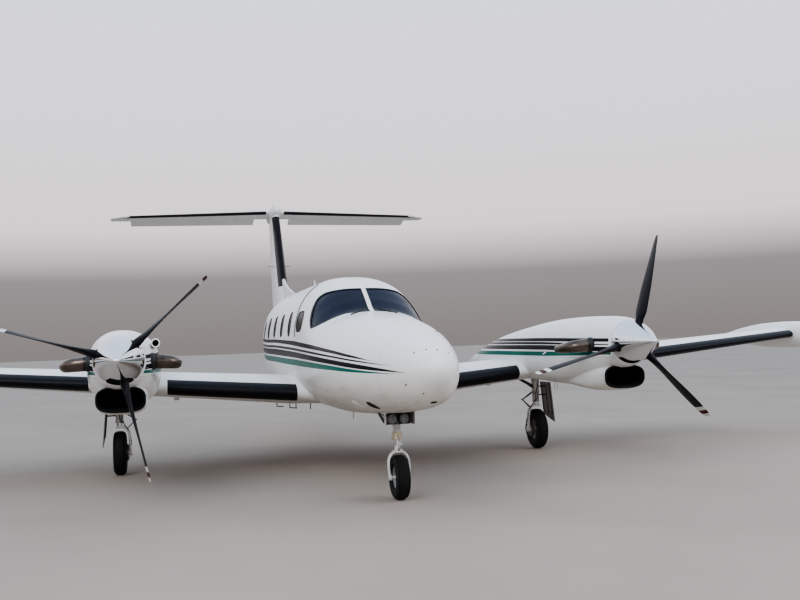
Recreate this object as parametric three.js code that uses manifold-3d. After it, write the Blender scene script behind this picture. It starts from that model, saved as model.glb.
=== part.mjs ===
// Twin turboprop aircraft with a T-tail, standing on its extended tricycle landing gear.
// Millimetres. +X is the port wing, +Y points aft, +Z is up. The origin is on the ground, midway
// along the length. Tables measure Y aft from the nose wheel axle and the outer group shifts them.
import * as THREE from 'three';
import { mergeVertices } from 'three/addons/utils/BufferGeometryUtils.js';
import Module from 'manifold-3d';

const wasm = await Module();
wasm.setup();

// Driving dimensions
const NOSE_TIP = -1600;          // foremost point, aft of the nose wheel axle
const TAIL_END = 11630;          // aft end of the fin bullet
const WALL = 60;                 // cabin wall, skin to trim
const TAIL_WALL = 16;            // tail cone and fin skin with their frames
const SEAT_GAP = 0.3;            // between pieces that touch
const TRACK = 5744;              // main wheel to main wheel
const WHEELBASE = 3451;          // nose axle to main axle
const PROP_X = 2708;             // thrust line from the centreline
const PROP_Y = 62;               // propeller plane
const PROP_Z = 1505;             // thrust line height
const PROP_R = 1206;             // propeller tip radius
const HUB_BACK = 72;             // back face of the propeller hub, aft of the blades
const HUB_R = 98;                // propeller hub radius
const SHAFT_R = 88;              // engine shaft behind the hub
const BLADE_ANGLE = { l: 15.4, r: 47.1 };   // first blade from vertical, clockwise seen from the front
const WING_TIP_X = 6930;         // outer end of the wing, inside the tip tank
const TANK_X = 7065;             // tip tank centreline
const TANK_R = 200;              // tip tank radius
const LEG_TOP = 1150;            // main leg, inside the wing
const CONTROL_GAP = 10;          // between a control surface and what it swings in
const FLAP_GAP = 16;             // the same for the flaps
const PIN = { r: 9, hole: 10, root: 30, reach: 38 };    // hinge pins at the ends of control surfaces
const KNUCKLE = { r: 12, socket: 12.9, half: 35 };      // door hinge barrels on the outer skin
const STEER_RAKE = 6.5;          // steering axis, top leaning aft, degrees
const NOSE_WHEEL = { r: 222.5, width: 150, rim: 115, hub: 44, axle: 16 };
const MAIN_WHEEL = { r: 280.5, width: 165, rim: 138, hub: 52, axle: 24 };

// Fuselage sections: y, half width, top, bottom, widest height, exponent above, exponent below
const FUSELAGE = [
  [NOSE_TIP, 30, 1345, 1285, 1310, 2.0, 2.0], [-1530, 142, 1435, 1160, 1310, 2.0, 2.0],
  [-1400, 230, 1522, 1058, 1310, 2.05, 2.1], [-1100, 332, 1620, 985, 1312, 2.1, 2.15],
  [-600, 480, 1722, 925, 1310, 2.15, 2.25], [0, 615, 1818, 868, 1335, 2.2, 2.4],
  [600, 684, 1895, 828, 1375, 2.3, 2.5], [1070, 710, 1955, 808, 1420, 2.4, 2.6],
  [1330, 716, 2110, 803, 1450, 2.5, 2.6], [1570, 720, 2255, 800, 1480, 2.6, 2.6],
  [1900, 725, 2368, 795, 1520, 2.6, 2.6], [2400, 725, 2420, 790, 1540, 2.55, 2.6],
  [5500, 725, 2430, 790, 1540, 2.5, 2.6], [6500, 690, 2420, 860, 1600, 2.4, 2.5],
  [8000, 530, 2400, 1150, 1750, 2.2, 2.3], [9500, 340, 2360, 1560, 1950, 2.1, 2.1],
  [11000, 150, 2300, 1960, 2130, 2.0, 2.0], [11250, 50, 2240, 2050, 2140, 2.0, 2.0],
];
const NOSE_CONE_END = -900;
const CABIN_START = 900;
const CABIN_END = 7400;
const FLOOR_Z = 1050;            // top of the cabin floor
const FLOOR_THICK = 40;

// Nacelle sections, the same columns
const NACELLE = [
  [145, 241, 1746, 1264, 1505, 2.0, 2.0], [290, 264, 1778, 1226, 1455, 2.1, 2.1],
  [700, 330, 1803, 1110, 1420, 2.2, 2.3], [1200, 375, 1812, 1030, 1400, 2.25, 2.5],
  [1650, 382, 1808, 985, 1390, 2.3, 2.6], [2200, 382, 1785, 1000, 1380, 2.3, 2.6],
  [2700, 372, 1747, 1010, 1370, 2.3, 2.5],
  [3960, 320, 1623, 1010, 1310, 2.2, 2.4], [5190, 180, 1408, 1080, 1230, 2.1, 2.2],
  [5950, 22, 1232, 1188, 1210, 2.0, 2.0],
];
const COWL = 30;                 // cowling wall
const ENGINE_BAY = { front: 320, floor: 1255, end: 2300 };
const ENGINE_R = 240;
const SHAFT_HOLE_R = 190;        // opening in the cowl's front face
// Fairing of the air intake under the cowl: y, half width, half height, middle height
const SCOOP = [
  [345, 242, 130, 1114], [520, 254, 146, 1102], [760, 256, 150, 1096], [1050, 246, 138, 1094],
  [1350, 222, 116, 1090], [1700, 180, 86, 1088], [2050, 120, 50, 1085],
];
const INTAKE = { halfW: 216, halfH: 100, z: 1120, front: 300, depth: 860 };
const EXHAUST = { y: 560, wall: 8 };
// Exhaust stub: sideways reach from the thrust line, distance aft, heading from straight aft in degrees,
// half width, half height, middle height
const STUB = [
  [ENGINE_R + SEAT_GAP, 0, 90, 84, 76, 1479], [330, 0, 90, 84, 76, 1478], [420, 4, 82, 84, 73, 1472],
  [480, 26, 62, 84, 69, 1466], [533, 130, 16, 72, 62, 1455], [548, 340, 0, 50, 45, 1440],
];

// Wing sections: x, leading edge y, chord line z there, chord, thickness ratio, incidence in degrees
const WING = [
  [450, 1700, 985, 3260, 0.115, 1.5], [730, 2250, 1001, 2680, 0.15, 1.5],
  [2255, 2440, 1124, 2250, 0.148, 1.2], [3250, 2574, 1204, 2025, 0.144, 0.9],
  [WING_TIP_X, 3071, 1501, 1200, 0.12, -0.8],
];
const JACK = { x: 2150, y: 3400, z: 925, r: 35 };
const TAIL_PAD = { y: 9300, z: 1445, half: 45 };
const CAMBER = 0.02;
const HINGE_AT = 0.75;           // hinge lines of flaps and ailerons, in chords from the leading edge

// Flaps and ailerons: name, inner x, outer x, inner and outer end of the hinge line they swing on
const WING_SURFACES = [
  ['flap_inner', 840, 2270, 840, 4660], ['flap_outer', 3140, 4660, 840, 4660],
  ['aileron', 4712, 6800, 4712, 6800],
];

// Fin sections: z, leading edge y, chord, thickness ratio
const FIN = [[2280, 8860, 2400, 0.088], [3300, 9512, 1990, 0.09], [4330, 10170, 1410, 0.10]];
const DORSAL = [[7900, 2402], [9250, 2880], [9350, 2250], [7900, 2250]];
// Bullet where fin and tailplane cross: y, half width, top, bottom
const BULLET = [[10070, 20, 4385, 4345], [10200, 85, 4470, 4270], [10500, 125, 4518, 4215],
  [11000, 118, 4490, 4205], [11400, 80, 4430, 4240], [TAIL_END, 16, 4356, 4324]];
const RUDDER = { low: 2372, high: 4180, hingeLow: 10720, hingeHigh: 11070, nose: [62, 56] };
// Tailplane sections: x, leading edge y, chord line z, chord, thickness ratio
const TAILPLANE = [[0, 10400, 4375, 1090, 0.10], [3050, 10715, 4328, 720, 0.09],
  [3332, 10960, 4322, 420, 0.08]];
const ELEVATOR = { inner: 370, outer: 2950, hingeY: 11075, hingeZ: 4371, rise: -0.0155, nose: [46, 35] };
const ELEVATOR_DROOP = 18;       // trailing edge down while parked, degrees

// Cabin windows: centre y, half width, bottom z, top z, sides
const WINDOWS = [
  [2012, 250, 1745, 2045, 'lr'], [2930, 150, 1705, 2025, 'lr'], [3790, 150, 1705, 2025, 'lr'],
  [4650, 150, 1705, 2025, 'lr'], [5480, 150, 1705, 2025, 'lr'], [6340, 140, 1705, 2005, 'r'],
];
const DOOR_GAP = 8;              // round the cabin and baggage doors
const SPLIT_GAP = 4;             // half the gap between upper and lower door
const DOOR = { y0: 5800, y1: 6480, low: 1075, split: 1560, high: 2190 };
const DOOR_WINDOW = [6140, 140, 1740, 2030];
// Half windscreen seen from the front, from the centre post: x, z
const WINDSCREEN = [[38, 2236], [170, 2234], [320, 2220], [430, 2196], [520, 2138], [585, 2045],
  [632, 1940], [660, 1835], [668, 1768], [560, 1822], [420, 1886], [270, 1928], [38, 1942]];
const SCREEN_CENTRE = [350, 2030];   // middle of one pane
const SCREEN_DEPTH = [900, 1735];    // foremost and rearmost reach of the cut
// Nose baggage door, centred on its hinge line and turned to lie along the skin
const BAGGAGE_DOOR = { x: 424, y: -60, heading: 17.4, half: 370, low: 1370, high: 1688 };
const NOSE_WELL = { halfW: 150, y0: -130, y1: 860, top: 1150 };
// Leaf of the nose gear doors from the side, open: y, z
const NOSE_DOOR = [[-122, 1000], [-122, 756], [0, 756], [260, 845], [852, 850], [852, 1000]];
const NOSE_BAY = { y0: -640, y1: 800, floor: 1240 };

// Surface finishes
const paint = (color, roughness = 0.3, metalness = 0.0) =>
  new THREE.MeshStandardMaterial({ color, roughness, metalness });
const FINISH = {
  white: () => paint(0xe8e8e4), chrome: () => paint(0xd4d8dc, 0.08, 1),
  bronze: () => paint(0x5a4636, 0.3, 0.9), steel: () => paint(0xa8a8a6, 0.35, 0.9),
  rubber: () => paint(0x141414, 0.85), blade: () => paint(0x2b2b2e, 0.5, 0.3),
  glass: () => paint(0x2c3440, 0.05), leather: () => paint(0xb9a88c, 0.6),
  dark: () => paint(0x26262a, 0.6), engine: () => paint(0x77736c, 0.5, 0.7),
  carpet: () => paint(0x6b6258, 0.95),
};

// Solids and booleans
function solid(geometry) {
  const bare = geometry.index ? geometry.clone() : geometry;
  bare.deleteAttribute('normal');
  bare.deleteAttribute('uv');
  const merged = mergeVertices(bare, 1e-3);
  return new wasm.Manifold(new wasm.Mesh({
    numProp: 3,
    vertProperties: new Float32Array(merged.attributes.position.array),
    triVerts: new Uint32Array(merged.index.array),
  }));
}

function toGeometry(body) {
  const mesh = body.getMesh();
  const geometry = new THREE.BufferGeometry();
  geometry.setAttribute('position', new THREE.BufferAttribute(mesh.vertProperties, 3));
  geometry.setIndex(new THREE.BufferAttribute(mesh.triVerts, 1));
  geometry.computeVertexNormals();
  return geometry;
}

// The same body on the other side of the centreline
function mirrored(body) {
  const geometry = toGeometry(body);
  geometry.scale(-1, 1, 1);
  const index = geometry.index.array;
  for (let i = 0; i < index.length; i += 3) [index[i], index[i + 1]] = [index[i + 1], index[i]];
  return solid(geometry);
}

const union = (...bodies) => bodies.reduce((all, body) => all.add(body));

function box(x0, x1, y0, y1, z0, z1) {
  const geometry = new THREE.BoxGeometry(x1 - x0, y1 - y0, z1 - z0);
  return solid(geometry.translate((x0 + x1) / 2, (y0 + y1) / 2, (z0 + z1) / 2));
}

// A rod or cone from one point to another
function rod(from, to, r0, r1 = r0, sides = 16) {
  const a = new THREE.Vector3(...from);
  const b = new THREE.Vector3(...to);
  const along = b.clone().sub(a);
  const geometry = new THREE.CylinderGeometry(r1, r0, along.length(), sides);
  const turn = new THREE.Quaternion().setFromUnitVectors(
    new THREE.Vector3(0, 1, 0), along.clone().normalize());
  return solid(geometry.applyQuaternion(turn).translate(...a.add(b).multiplyScalar(0.5).toArray()));
}

// Rings of equal point counts joined into one closed body, ends capped
function loft(rings) {
  const n = rings[0].length;
  const points = rings.flat();
  const centre = (ring) => [0, 1, 2].map((k) => ring.reduce((s, p) => s + p[k], 0) / n);
  points.push(centre(rings[0]), centre(rings.at(-1)));
  const index = [];
  for (let r = 0; r + 1 < rings.length; r++) {
    for (let i = 0; i < n; i++) {
      const [a, b] = [r * n + i, r * n + (i + 1) % n];
      index.push(a, b, b + n, a, b + n, a + n);
    }
  }
  const last = (rings.length - 1) * n;
  for (let i = 0; i < n; i++) {
    index.push(points.length - 2, (i + 1) % n, i);
    index.push(points.length - 1, last + i, last + (i + 1) % n);
  }
  const geometry = new THREE.BufferGeometry();
  geometry.setAttribute('position', new THREE.Float32BufferAttribute(points.flat(), 3));
  geometry.setIndex(index);
  return solid(geometry);
}

// Superellipse ring across the Y axis, from a section row; grow moves it outwards
function ovalRing([y, w, top, bottom, widest, nTop = 2, nBottom = 2], x0, grow, sides) {
  const ring = [];
  for (let i = 0; i < sides; i++) {
    const angle = (2 * Math.PI * i) / sides;
    const [c, s] = [Math.cos(angle), Math.sin(angle)];
    const power = 2 / (s >= 0 ? nTop : nBottom);
    const height = s >= 0 ? top - widest : widest - bottom;
    ring.push([
      x0 + (w + grow) * Math.sign(c) * Math.abs(c) ** power, y,
      widest + (height + grow) * Math.sign(s) * Math.abs(s) ** power,
    ]);
  }
  return ring;
}

const ovalLoft = (rows, { x0 = 0, grow = 0, sides = 24 } = {}) =>
  loft(rows.map((row) => ovalRing(row, x0, grow, sides)).reverse());

// Aerofoil outline from the trailing edge over the top and back below: chord and height fractions
const halfThick = (u, thickness) => 5 * thickness * (0.2969 * Math.sqrt(u) - 0.126 * u
  - 0.3516 * u ** 2 + 0.2843 * u ** 3 - 0.1015 * u ** 4);

function aerofoil(thickness, camber, half = 7) {
  const outline = [];
  for (let i = 0; i < 2 * half; i++) {
    const angle = (Math.PI * i) / half;
    const u = 0.5 + 0.5 * Math.cos(angle);
    const side = i % half === 0 ? 0 : Math.sign(half - i);
    outline.push([u, camber * 4 * u * (1 - u) + side * halfThick(u, thickness)]);
  }
  outline[0] = [1, 0.0016];
  outline.push([1, -0.0016]);
  return outline;
}

function wingRing([x, leadY, z, chord, thickness, incidence = 0], camber, grow = 0) {
  const [c, s] = [Math.cos(incidence * Math.PI / 180), Math.sin(incidence * Math.PI / 180)];
  return aerofoil(thickness, camber).map(([u, v]) => {
    const [dy, dz] = [u * chord + (2 * u - 1) * grow, v * chord + Math.sign(v) * grow];
    return [x, leadY + dy * c + dz * s, z + dz * c - dy * s];
  });
}

// A flat outline pushed along an axis: 'x' takes y,z points, 'y' takes x,z and 'z' takes x,y
function prism(shape, axis, from, to) {
  const outline = Array.isArray(shape)
    ? new THREE.Shape(shape.map((p) => new THREE.Vector2(...p))) : shape;
  const geometry = new THREE.ExtrudeGeometry(
    outline, { depth: to - from, bevelEnabled: false, curveSegments: 1 });
  geometry.translate(0, 0, from);
  const frames = {
    x: [[0, 1, 0], [0, 0, 1], [1, 0, 0]],
    y: [[1, 0, 0], [0, 0, 1], [0, -1, 0]],
    z: [[1, 0, 0], [0, 1, 0], [0, 0, 1]],
  };
  const [u, v, w] = frames[axis].map((a) => new THREE.Vector3(...a));
  if (axis === 'y') geometry.translate(0, 0, -from - to);
  return solid(geometry.applyMatrix4(new THREE.Matrix4().makeBasis(u, v, w)));
}

// Rectangle with round corners, u0..u1 by v0..v1
function roundRect(u0, u1, v0, v1, r) {
  const shape = new THREE.Shape();
  shape.absarc(u1 - r, v1 - r, r, 0, Math.PI / 2);
  shape.absarc(u0 + r, v1 - r, r, Math.PI / 2, Math.PI);
  shape.absarc(u0 + r, v0 + r, r, Math.PI, 1.5 * Math.PI);
  shape.absarc(u1 - r, v0 + r, r, 1.5 * Math.PI, 2 * Math.PI);
  return shape;
}

// Lathe about the X axis from a closed profile of x, radius points
function turned(profile, segments) {
  const points = [...profile, profile[0]].map(([x, r]) => new THREE.Vector2(r, x));
  return solid(new THREE.LatheGeometry(points, segments).rotateZ(-Math.PI / 2));
}

// Scene graph
const group = new THREE.Group();
const airframe = new THREE.Group();
airframe.position.y = -(NOSE_TIP + TAIL_END) / 2;
group.add(airframe);

function add(name, body, finish, position = [0, 0, 0]) {
  const mesh = new THREE.Mesh(toGeometry(body), FINISH[finish]());
  mesh.name = name;
  mesh.position.set(...position);
  airframe.add(mesh);
}

function addPair(name, body, finish) {
  add(`${name}_l`, body, finish);
  add(`${name}_r`, mirrored(body), finish);
}

// Fuselage
const slab = (y0, y1) => box(-1000, 1000, y0 + SEAT_GAP / 2, y1 - SEAT_GAP / 2, 0, 5000);
const hull = ovalLoft(FUSELAGE);
const cabinSpace = ovalLoft(FUSELAGE, { grow: -WALL });
const aroundHull = ovalLoft(FUSELAGE, { grow: SEAT_GAP });

function windowCut([y, half, z0, z1], clear, x0, x1) {
  return prism(roundRect(y - half + clear, y + half - clear, z0 + clear, z1 - clear, 70), 'x', x0, x1);
}

function screenCut(side, clear) {
  const outline = WINDSCREEN.map(([x, z]) => {
    const [cx, cz] = SCREEN_CENTRE;
    const shrink = 1 - clear / 100;
    return [side * (cx + (x - cx) * shrink), cz + (z - cz) * shrink];
  });
  return prism(outline, 'y', ...SCREEN_DEPTH);
}

const sideRange = { l: [300, 900], r: [-900, -300] };
const doorHole = (grow, z0, z1) =>
  prism(roundRect(DOOR.y0 - grow, DOOR.y1 + grow, z0 - grow, z1 + grow, 90), 'x', 300, 900);

function cabinShell() {
  const interior = cabinSpace.intersect(
    box(-1000, 1000, CABIN_START + WALL, CABIN_END - WALL, 0, 5000));
  let shell = hull.intersect(slab(CABIN_START, CABIN_END)).subtract(interior);
  for (const row of WINDOWS) {
    for (const side of row[4]) shell = shell.subtract(windowCut(row, 0, ...sideRange[side]));
  }
  const sockets = union(...Object.values(hingeLine).map((line) => knuckles(line, KNUCKLE.socket)));
  const doorway = doorHole(0, DOOR.low, DOOR.high);
  return shell.subtract(union(screenCut(1, 0), screenCut(-1, 0), doorway, sockets));
}

// Panes of one side, each filling its window and joined by a band behind the wall
function glazing(side) {
  const rows = WINDOWS.filter((row) => row[4].includes(side));
  const skin = ovalLoft(FUSELAGE, { grow: -12 });
  const band = ovalLoft(FUSELAGE, { grow: -WALL - SEAT_GAP * 2 })
    .subtract(ovalLoft(FUSELAGE, { grow: -WALL - 8 }));
  const reach = side === 'l' ? DOOR.y0 - 120 : rows.at(-1)[0] + 200;
  const strip = band.intersect(box(...sideRange[side], 1760, reach, 1790, 1960));
  const inner = ovalLoft(FUSELAGE, { grow: -WALL - 8 });
  const panes = rows.map((row) => windowCut(row, 0.4, ...sideRange[side]).intersect(skin).subtract(inner));
  return union(strip, ...panes);
}

function windscreen(side) {
  return screenCut(side, 0.4).intersect(ovalLoft(FUSELAGE, { grow: -10 }))
    .subtract(ovalLoft(FUSELAGE, { grow: -26 }));
}

const doorSkin = () => hull.subtract(cabinSpace);
// Point of the port outer skin at a height
function skinPoint(y, z) {
  const i = FUSELAGE.findIndex((row) => row[0] >= y);
  const [a, b] = [FUSELAGE[i - 1], FUSELAGE[i]];
  const [, w, top, bottom, widest, nTop, nBottom] = a.map((value, k) =>
    value + ((y - a[0]) / (b[0] - a[0])) * (b[k] - value));
  const [height, n] = z > widest ? [top - widest, nTop] : [widest - bottom, nBottom];
  return [w * (1 - Math.abs((z - widest) / height) ** n) ** (1 / n), y, z];
}

// Two hinge barrels on the line from a to b
function knuckles([a, b], r) {
  const [from, to] = [new THREE.Vector3(...a), new THREE.Vector3(...b)];
  const along = to.clone().sub(from).normalize();
  return union(...[0.12, 0.88].map((t) => {
    const at = (d) => from.clone().lerp(to, t).addScaledVector(along, d).toArray();
    const half = KNUCKLE.half + (r > KNUCKLE.r ? 1 : 0);
    return rod(at(-half), at(half), r, r, 10);
  }));
}

const hingeLine = {
  upper: [skinPoint(DOOR.y0 + 80, DOOR.high - 2.5), skinPoint(DOOR.y1 - 80, DOOR.high - 2.5)],
  lower: [skinPoint(DOOR.y0 + 80, DOOR.low + 2.5), skinPoint(DOOR.y1 - 80, DOOR.low + 2.5)],
};

function doorUpper() {
  const half = box(0, 900, 5000, 7000, DOOR.split + SPLIT_GAP, 2500);
  const panel = union(doorSkin().intersect(doorHole(-DOOR_GAP, DOOR.low, DOOR.high)).intersect(half),
    knuckles(hingeLine.upper, KNUCKLE.r));
  const pane = windowCut(DOOR_WINDOW, 0.4, 300, 900).intersect(ovalLoft(FUSELAGE, { grow: -12 }))
    .subtract(ovalLoft(FUSELAGE, { grow: -30 }));
  return { panel: panel.subtract(windowCut(DOOR_WINDOW, 0, 300, 900)), pane };
}

// Lower door with its two folded-in steps
function doorLower() {
  const half = box(0, 900, 5000, 7000, 500, DOOR.split - SPLIT_GAP);
  const panel = union(doorSkin().intersect(doorHole(-DOOR_GAP, DOOR.low, DOOR.high)).intersect(half),
    knuckles(hingeLine.lower, KNUCKLE.r));
  const steps = [1180, 1390].map((z) => box(500, 672, DOOR.y0 + 90, DOOR.y1 - 90, z, z + 22)
    .intersect(ovalLoft(FUSELAGE, { grow: -30 })));
  return union(panel, ...steps);
}

function baggageHole(grow) {
  const { x, y, heading, half, low, high } = BAGGAGE_DOOR;
  const outline = roundRect(-half - grow, half + grow, low - grow, high + grow, 60);
  const geometry = toGeometry(prism(outline, 'x', -170, 500));
  return solid(geometry.rotateZ(-heading * Math.PI / 180).translate(x, y, 0));
}

function baggageHinge(r) {
  const { x, y, heading, half, high } = BAGGAGE_DOOR;
  const at = (u) => [x + u * Math.sin(heading * Math.PI / 180), y + u * Math.cos(heading * Math.PI / 180),
    high - 2.5];
  return knuckles([at(-half * 0.45), at(half * 0.45)], r);
}

function noseSection() {
  const well = box(-NOSE_WELL.halfW, NOSE_WELL.halfW, NOSE_WELL.y0, NOSE_WELL.y1, 500, NOSE_WELL.top);
  const bay = ovalLoft(FUSELAGE, { grow: -WALL / 2 })
    .intersect(box(-900, 900, NOSE_BAY.y0, NOSE_BAY.y1, NOSE_BAY.floor, 2500));
  return hull.intersect(slab(NOSE_CONE_END, CABIN_START))
    .subtract(union(well, bay, baggageHole(0), baggageHinge(KNUCKLE.socket)));
}

function baggageDoor() {
  const panel = hull.subtract(ovalLoft(FUSELAGE, { grow: -WALL / 2 })).intersect(baggageHole(-DOOR_GAP));
  return union(panel, baggageHinge(KNUCKLE.r));
}

function tailCone() {
  const inside = ovalLoft(FUSELAGE, { grow: -TAIL_WALL })
    .intersect(box(-900, 900, CABIN_END - 50, 10900, 0, 5000));
  const pad = box(-30, 30, TAIL_PAD.y - TAIL_PAD.half, TAIL_PAD.y + TAIL_PAD.half, TAIL_PAD.z, 1540);
  return union(hull.intersect(slab(CABIN_END, 11300)).subtract(inside), pad);
}

function fuselage() {
  add('nose_cone', hull.intersect(slab(NOSE_TIP - 50, NOSE_CONE_END)), 'white');
  add('nose_section', noseSection(), 'white');
  add('nose_baggage_door', baggageDoor(), 'white');
  add('cabin_shell', cabinShell(), 'white');
  add('tail_cone', tailCone(), 'white');
  add('windscreen_l', windscreen(1), 'glass');
  add('windscreen_r', windscreen(-1), 'glass');
  add('cabin_glazing_l', glazing('l'), 'glass');
  add('cabin_glazing_r', glazing('r'), 'glass');
  const upper = doorUpper();
  add('cabin_door_upper', upper.panel, 'white');
  add('cabin_door_glazing', upper.pane, 'glass');
  add('cabin_door_lower', doorLower(), 'white');
}

// Cabin interior
const insideTrim = ovalLoft(FUSELAGE, { grow: -WALL - SEAT_GAP });

function seat(x, y, z, width) {
  const profile = [[0, 0], [470, 0], [640, 640], [560, 650], [430, 150], [0, 130]];
  const side = profile.map(([u, v]) => [y + u, z + v]);
  return prism(side, 'x', x - width / 2, x + width / 2);
}

function crewSeat(x) {
  const pedestal = box(x - 160, x + 160, 2080, 2420, FLOOR_Z + SEAT_GAP, FLOOR_Z + 240);
  return union(seat(x, 1990, FLOOR_Z + 230, 430), pedestal);
}

// Passenger seats of one side, on the two rails that carry them
function cabinSeats(x) {
  const rows = [3050, 3960, 4870];
  const rails = [-150, 150].map((dx) =>
    box(x + dx - 20, x + dx + 20, 3000, 5500, FLOOR_Z + SEAT_GAP, FLOOR_Z + 30));
  const seats = rows.map((y) => union(seat(x, y, FLOOR_Z + 170, 430),
    box(x - 175, x + 175, y + 60, y + 420, FLOOR_Z + 20, FLOOR_Z + 180)));
  return union(...rails, ...seats);
}

function instrumentPanel() {
  const face = box(-640, 640, 1440, 1500, 1500, 1900).intersect(insideTrim);
  const shield = prism([[1230, 1840], [1560, 1905], [1560, 1880], [1440, 1800], [1230, 1815]],
    'x', -560, 560).intersect(insideTrim);
  const pedestal = box(-130, 130, 1440, 1900, FLOOR_Z + SEAT_GAP, 1560);
  const yokes = [-330, 330].map((x) => union(rod([x, 1480, 1600], [x, 1700, 1600], 14),
    box(x - 150, x + 150, 1690, 1715, 1590, 1625),
    box(x - 150, x - 120, 1690, 1715, 1590, 1720), box(x + 120, x + 150, 1690, 1715, 1590, 1720)));
  return union(face, shield, pedestal, ...yokes);
}

function interior() {
  const floor = box(-700, 700, CABIN_START + WALL + SEAT_GAP, CABIN_END - WALL - SEAT_GAP,
    FLOOR_Z - FLOOR_THICK, FLOOR_Z).intersect(insideTrim);
  add('cabin_floor', floor, 'carpet');
  add('instrument_panel', instrumentPanel(), 'dark');
  add('crew_seat_l', crewSeat(330), 'leather');
  add('crew_seat_r', crewSeat(-330), 'leather');
  add('cabin_seats_l', cabinSeats(340), 'leather');
  add('cabin_seats_r', cabinSeats(-340), 'leather');
}

// Wing with its flaps and aileron
// A surface that swings about the line p0 to p1: the moving piece, the room it needs in its carrier,
// and the pins that carry it
function swung(loftBody, p0, p1, r0, r1, region, gap = CONTROL_GAP) {
  const nose = (grow) => rod(p0, p1, r0 + grow, r1 + grow, 16);
  const inwards = new THREE.Vector3(...p1).sub(new THREE.Vector3(...p0)).normalize();
  const pins = (r, extra) => union(...[[p0, 1], [p1, -1]].map(([end, sign]) => {
    const at = (d) => new THREE.Vector3(...end).addScaledVector(inwards, sign * d).toArray();
    return rod(at(-PIN.root), at(PIN.reach + extra), r, r, 8);
  }));
  const inside = union(region(-CONTROL_GAP), nose(0)).intersect(region(-CONTROL_GAP, true));
  return {
    moving: loftBody.intersect(inside).subtract(pins(PIN.hole, 1)),
    cut: union(region(0), nose(gap)).intersect(region(0, true)),
    pins: pins(PIN.r, 0),
  };
}

const wingLoft = (grow) => loft(WING.map((row) => wingRing(row, CAMBER, grow)));

// The wing's own section row at any x
function wingAt(x) {
  const i = Math.max(1, WING.findIndex((row) => row[0] >= x));
  const [a, b] = [WING[i - 1], WING[i]];
  return a.map((value, k) => value + ((x - a[0]) / (b[0] - a[0])) * (b[k] - value));
}

// Point on the wing's mean line at the hinge's share of the chord
function hingeEnd(x) {
  const [, leadY, z, chord, , incidence] = wingAt(x);
  const drop = HINGE_AT * chord * Math.sin(incidence * Math.PI / 180);
  return [x, leadY + HINGE_AT * chord, z - drop + CAMBER * 4 * HINGE_AT * (1 - HINGE_AT) * chord];
}

function wingSurface([, x0, x1, lineStart, lineEnd], body) {
  const [a, b] = [hingeEnd(lineStart), hingeEnd(lineEnd)];
  const at = (x) => a.map((value, k) => value + ((x - a[0]) / (b[0] - a[0])) * (b[k] - value));
  const noseAt = (x) => {
    const [, leadY, , chord, thickness] = wingAt(x);
    return 6 + chord * halfThick((at(x)[1] - leadY) / chord, thickness);
  };
  const [r0, r1] = [noseAt(x0), noseAt(x1)];
  const region = (grow, wide = false) => {
    const back = wide ? 400 : 0;
    const outline = [[x0 - grow, at(x0)[1] - back], [x1 + grow, at(x1)[1] - back],
      [x1 + grow, 6200], [x0 - grow, 6200]];
    return prism(outline, 'z', 500, 2000);
  };
  return swung(body, at(x0 - 5), at(x1 + 5), r0, r1, region, lineStart < 1000 ? FLAP_GAP : CONTROL_GAP);
}

// Room for the main leg in wing and nacelle
function legSlot() {
  const x = TRACK / 2;
  return box(x - 78, x + 78, WHEELBASE - 78, WHEELBASE + 78, 700, LEG_TOP + SEAT_GAP);
}

const tank = () => {
  const rows = [[2150, 12], [2280, 75], [2560, 148], [3000, 192], [3500, TANK_R], [4000, 188],
    [4500, 142], [4950, 72], [5200, 14]];
  return ovalLoft(rows.map(([y, r]) => [y, r, 1492 + r, 1492 - r, 1492]), { x0: TANK_X, sides: 24 });
};

// Flat pad under the spar for a wing jack
const jackPad = () => rod([JACK.x, JACK.y, JACK.z], [JACK.x, JACK.y, JACK.z + 150], JACK.r, JACK.r, 12);

function wingSide() {
  const whole = wingLoft(0);
  let wing = union(whole, tank(), jackPad());
  const surfaces = WING_SURFACES.map((row) => wingSurface(row, whole));
  for (const { cut, pins } of surfaces) wing = wing.subtract(cut).add(pins);
  return { wing: wing.subtract(union(aroundHull, legSlot(), sideBrace(SEAT_GAP))), surfaces };
}

function wings() {
  const { wing, surfaces } = wingSide();
  addPair('wing', wing, 'white');
  WING_SURFACES.forEach(([name], i) => addPair(name, surfaces[i].moving, 'white'));
}

// Nacelle, engine, intake and exhaust stubs
const nacelleLoft = (grow) => ovalLoft(NACELLE, { x0: PROP_X, grow, sides: 20 });

// Flat oval along the intake, from rows as in SCOOP
const intakeLoft = (rows) => ovalLoft(rows.map(([y, halfW, halfH, z]) =>
  [y, halfW, z + halfH, z - halfH, z, 3, 3]), { x0: PROP_X });

// Elliptic pipe leaving the engine sideways and turning aft
function exhaustPipe(side, grow, rows = STUB) {
  const rings = rows.map(([out, back, heading, halfW, halfH, z]) => {
    const [c, s] = [Math.cos(heading * Math.PI / 180), Math.sin(heading * Math.PI / 180)];
    const ring = [];
    for (let i = 0; i < 12; i++) {
      const turn = (Math.PI * i) / 6;
      const [u, v] = [(halfW + grow) * Math.cos(turn), (halfH + grow) * Math.sin(turn)];
      ring.push([PROP_X + side * (out + u * c), EXHAUST.y + back - u * s, z + v]);
    }
    return side > 0 ? ring.reverse() : ring;
  });
  return loft(rings);
}

function exhaust(side) {
  const pastEnd = STUB.at(-1).slice();
  pastEnd[1] += 20;
  const bore = exhaustPipe(side, -EXHAUST.wall, [...STUB.slice(3), pastEnd]);
  return exhaustPipe(side, 0).subtract(bore);
}

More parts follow.
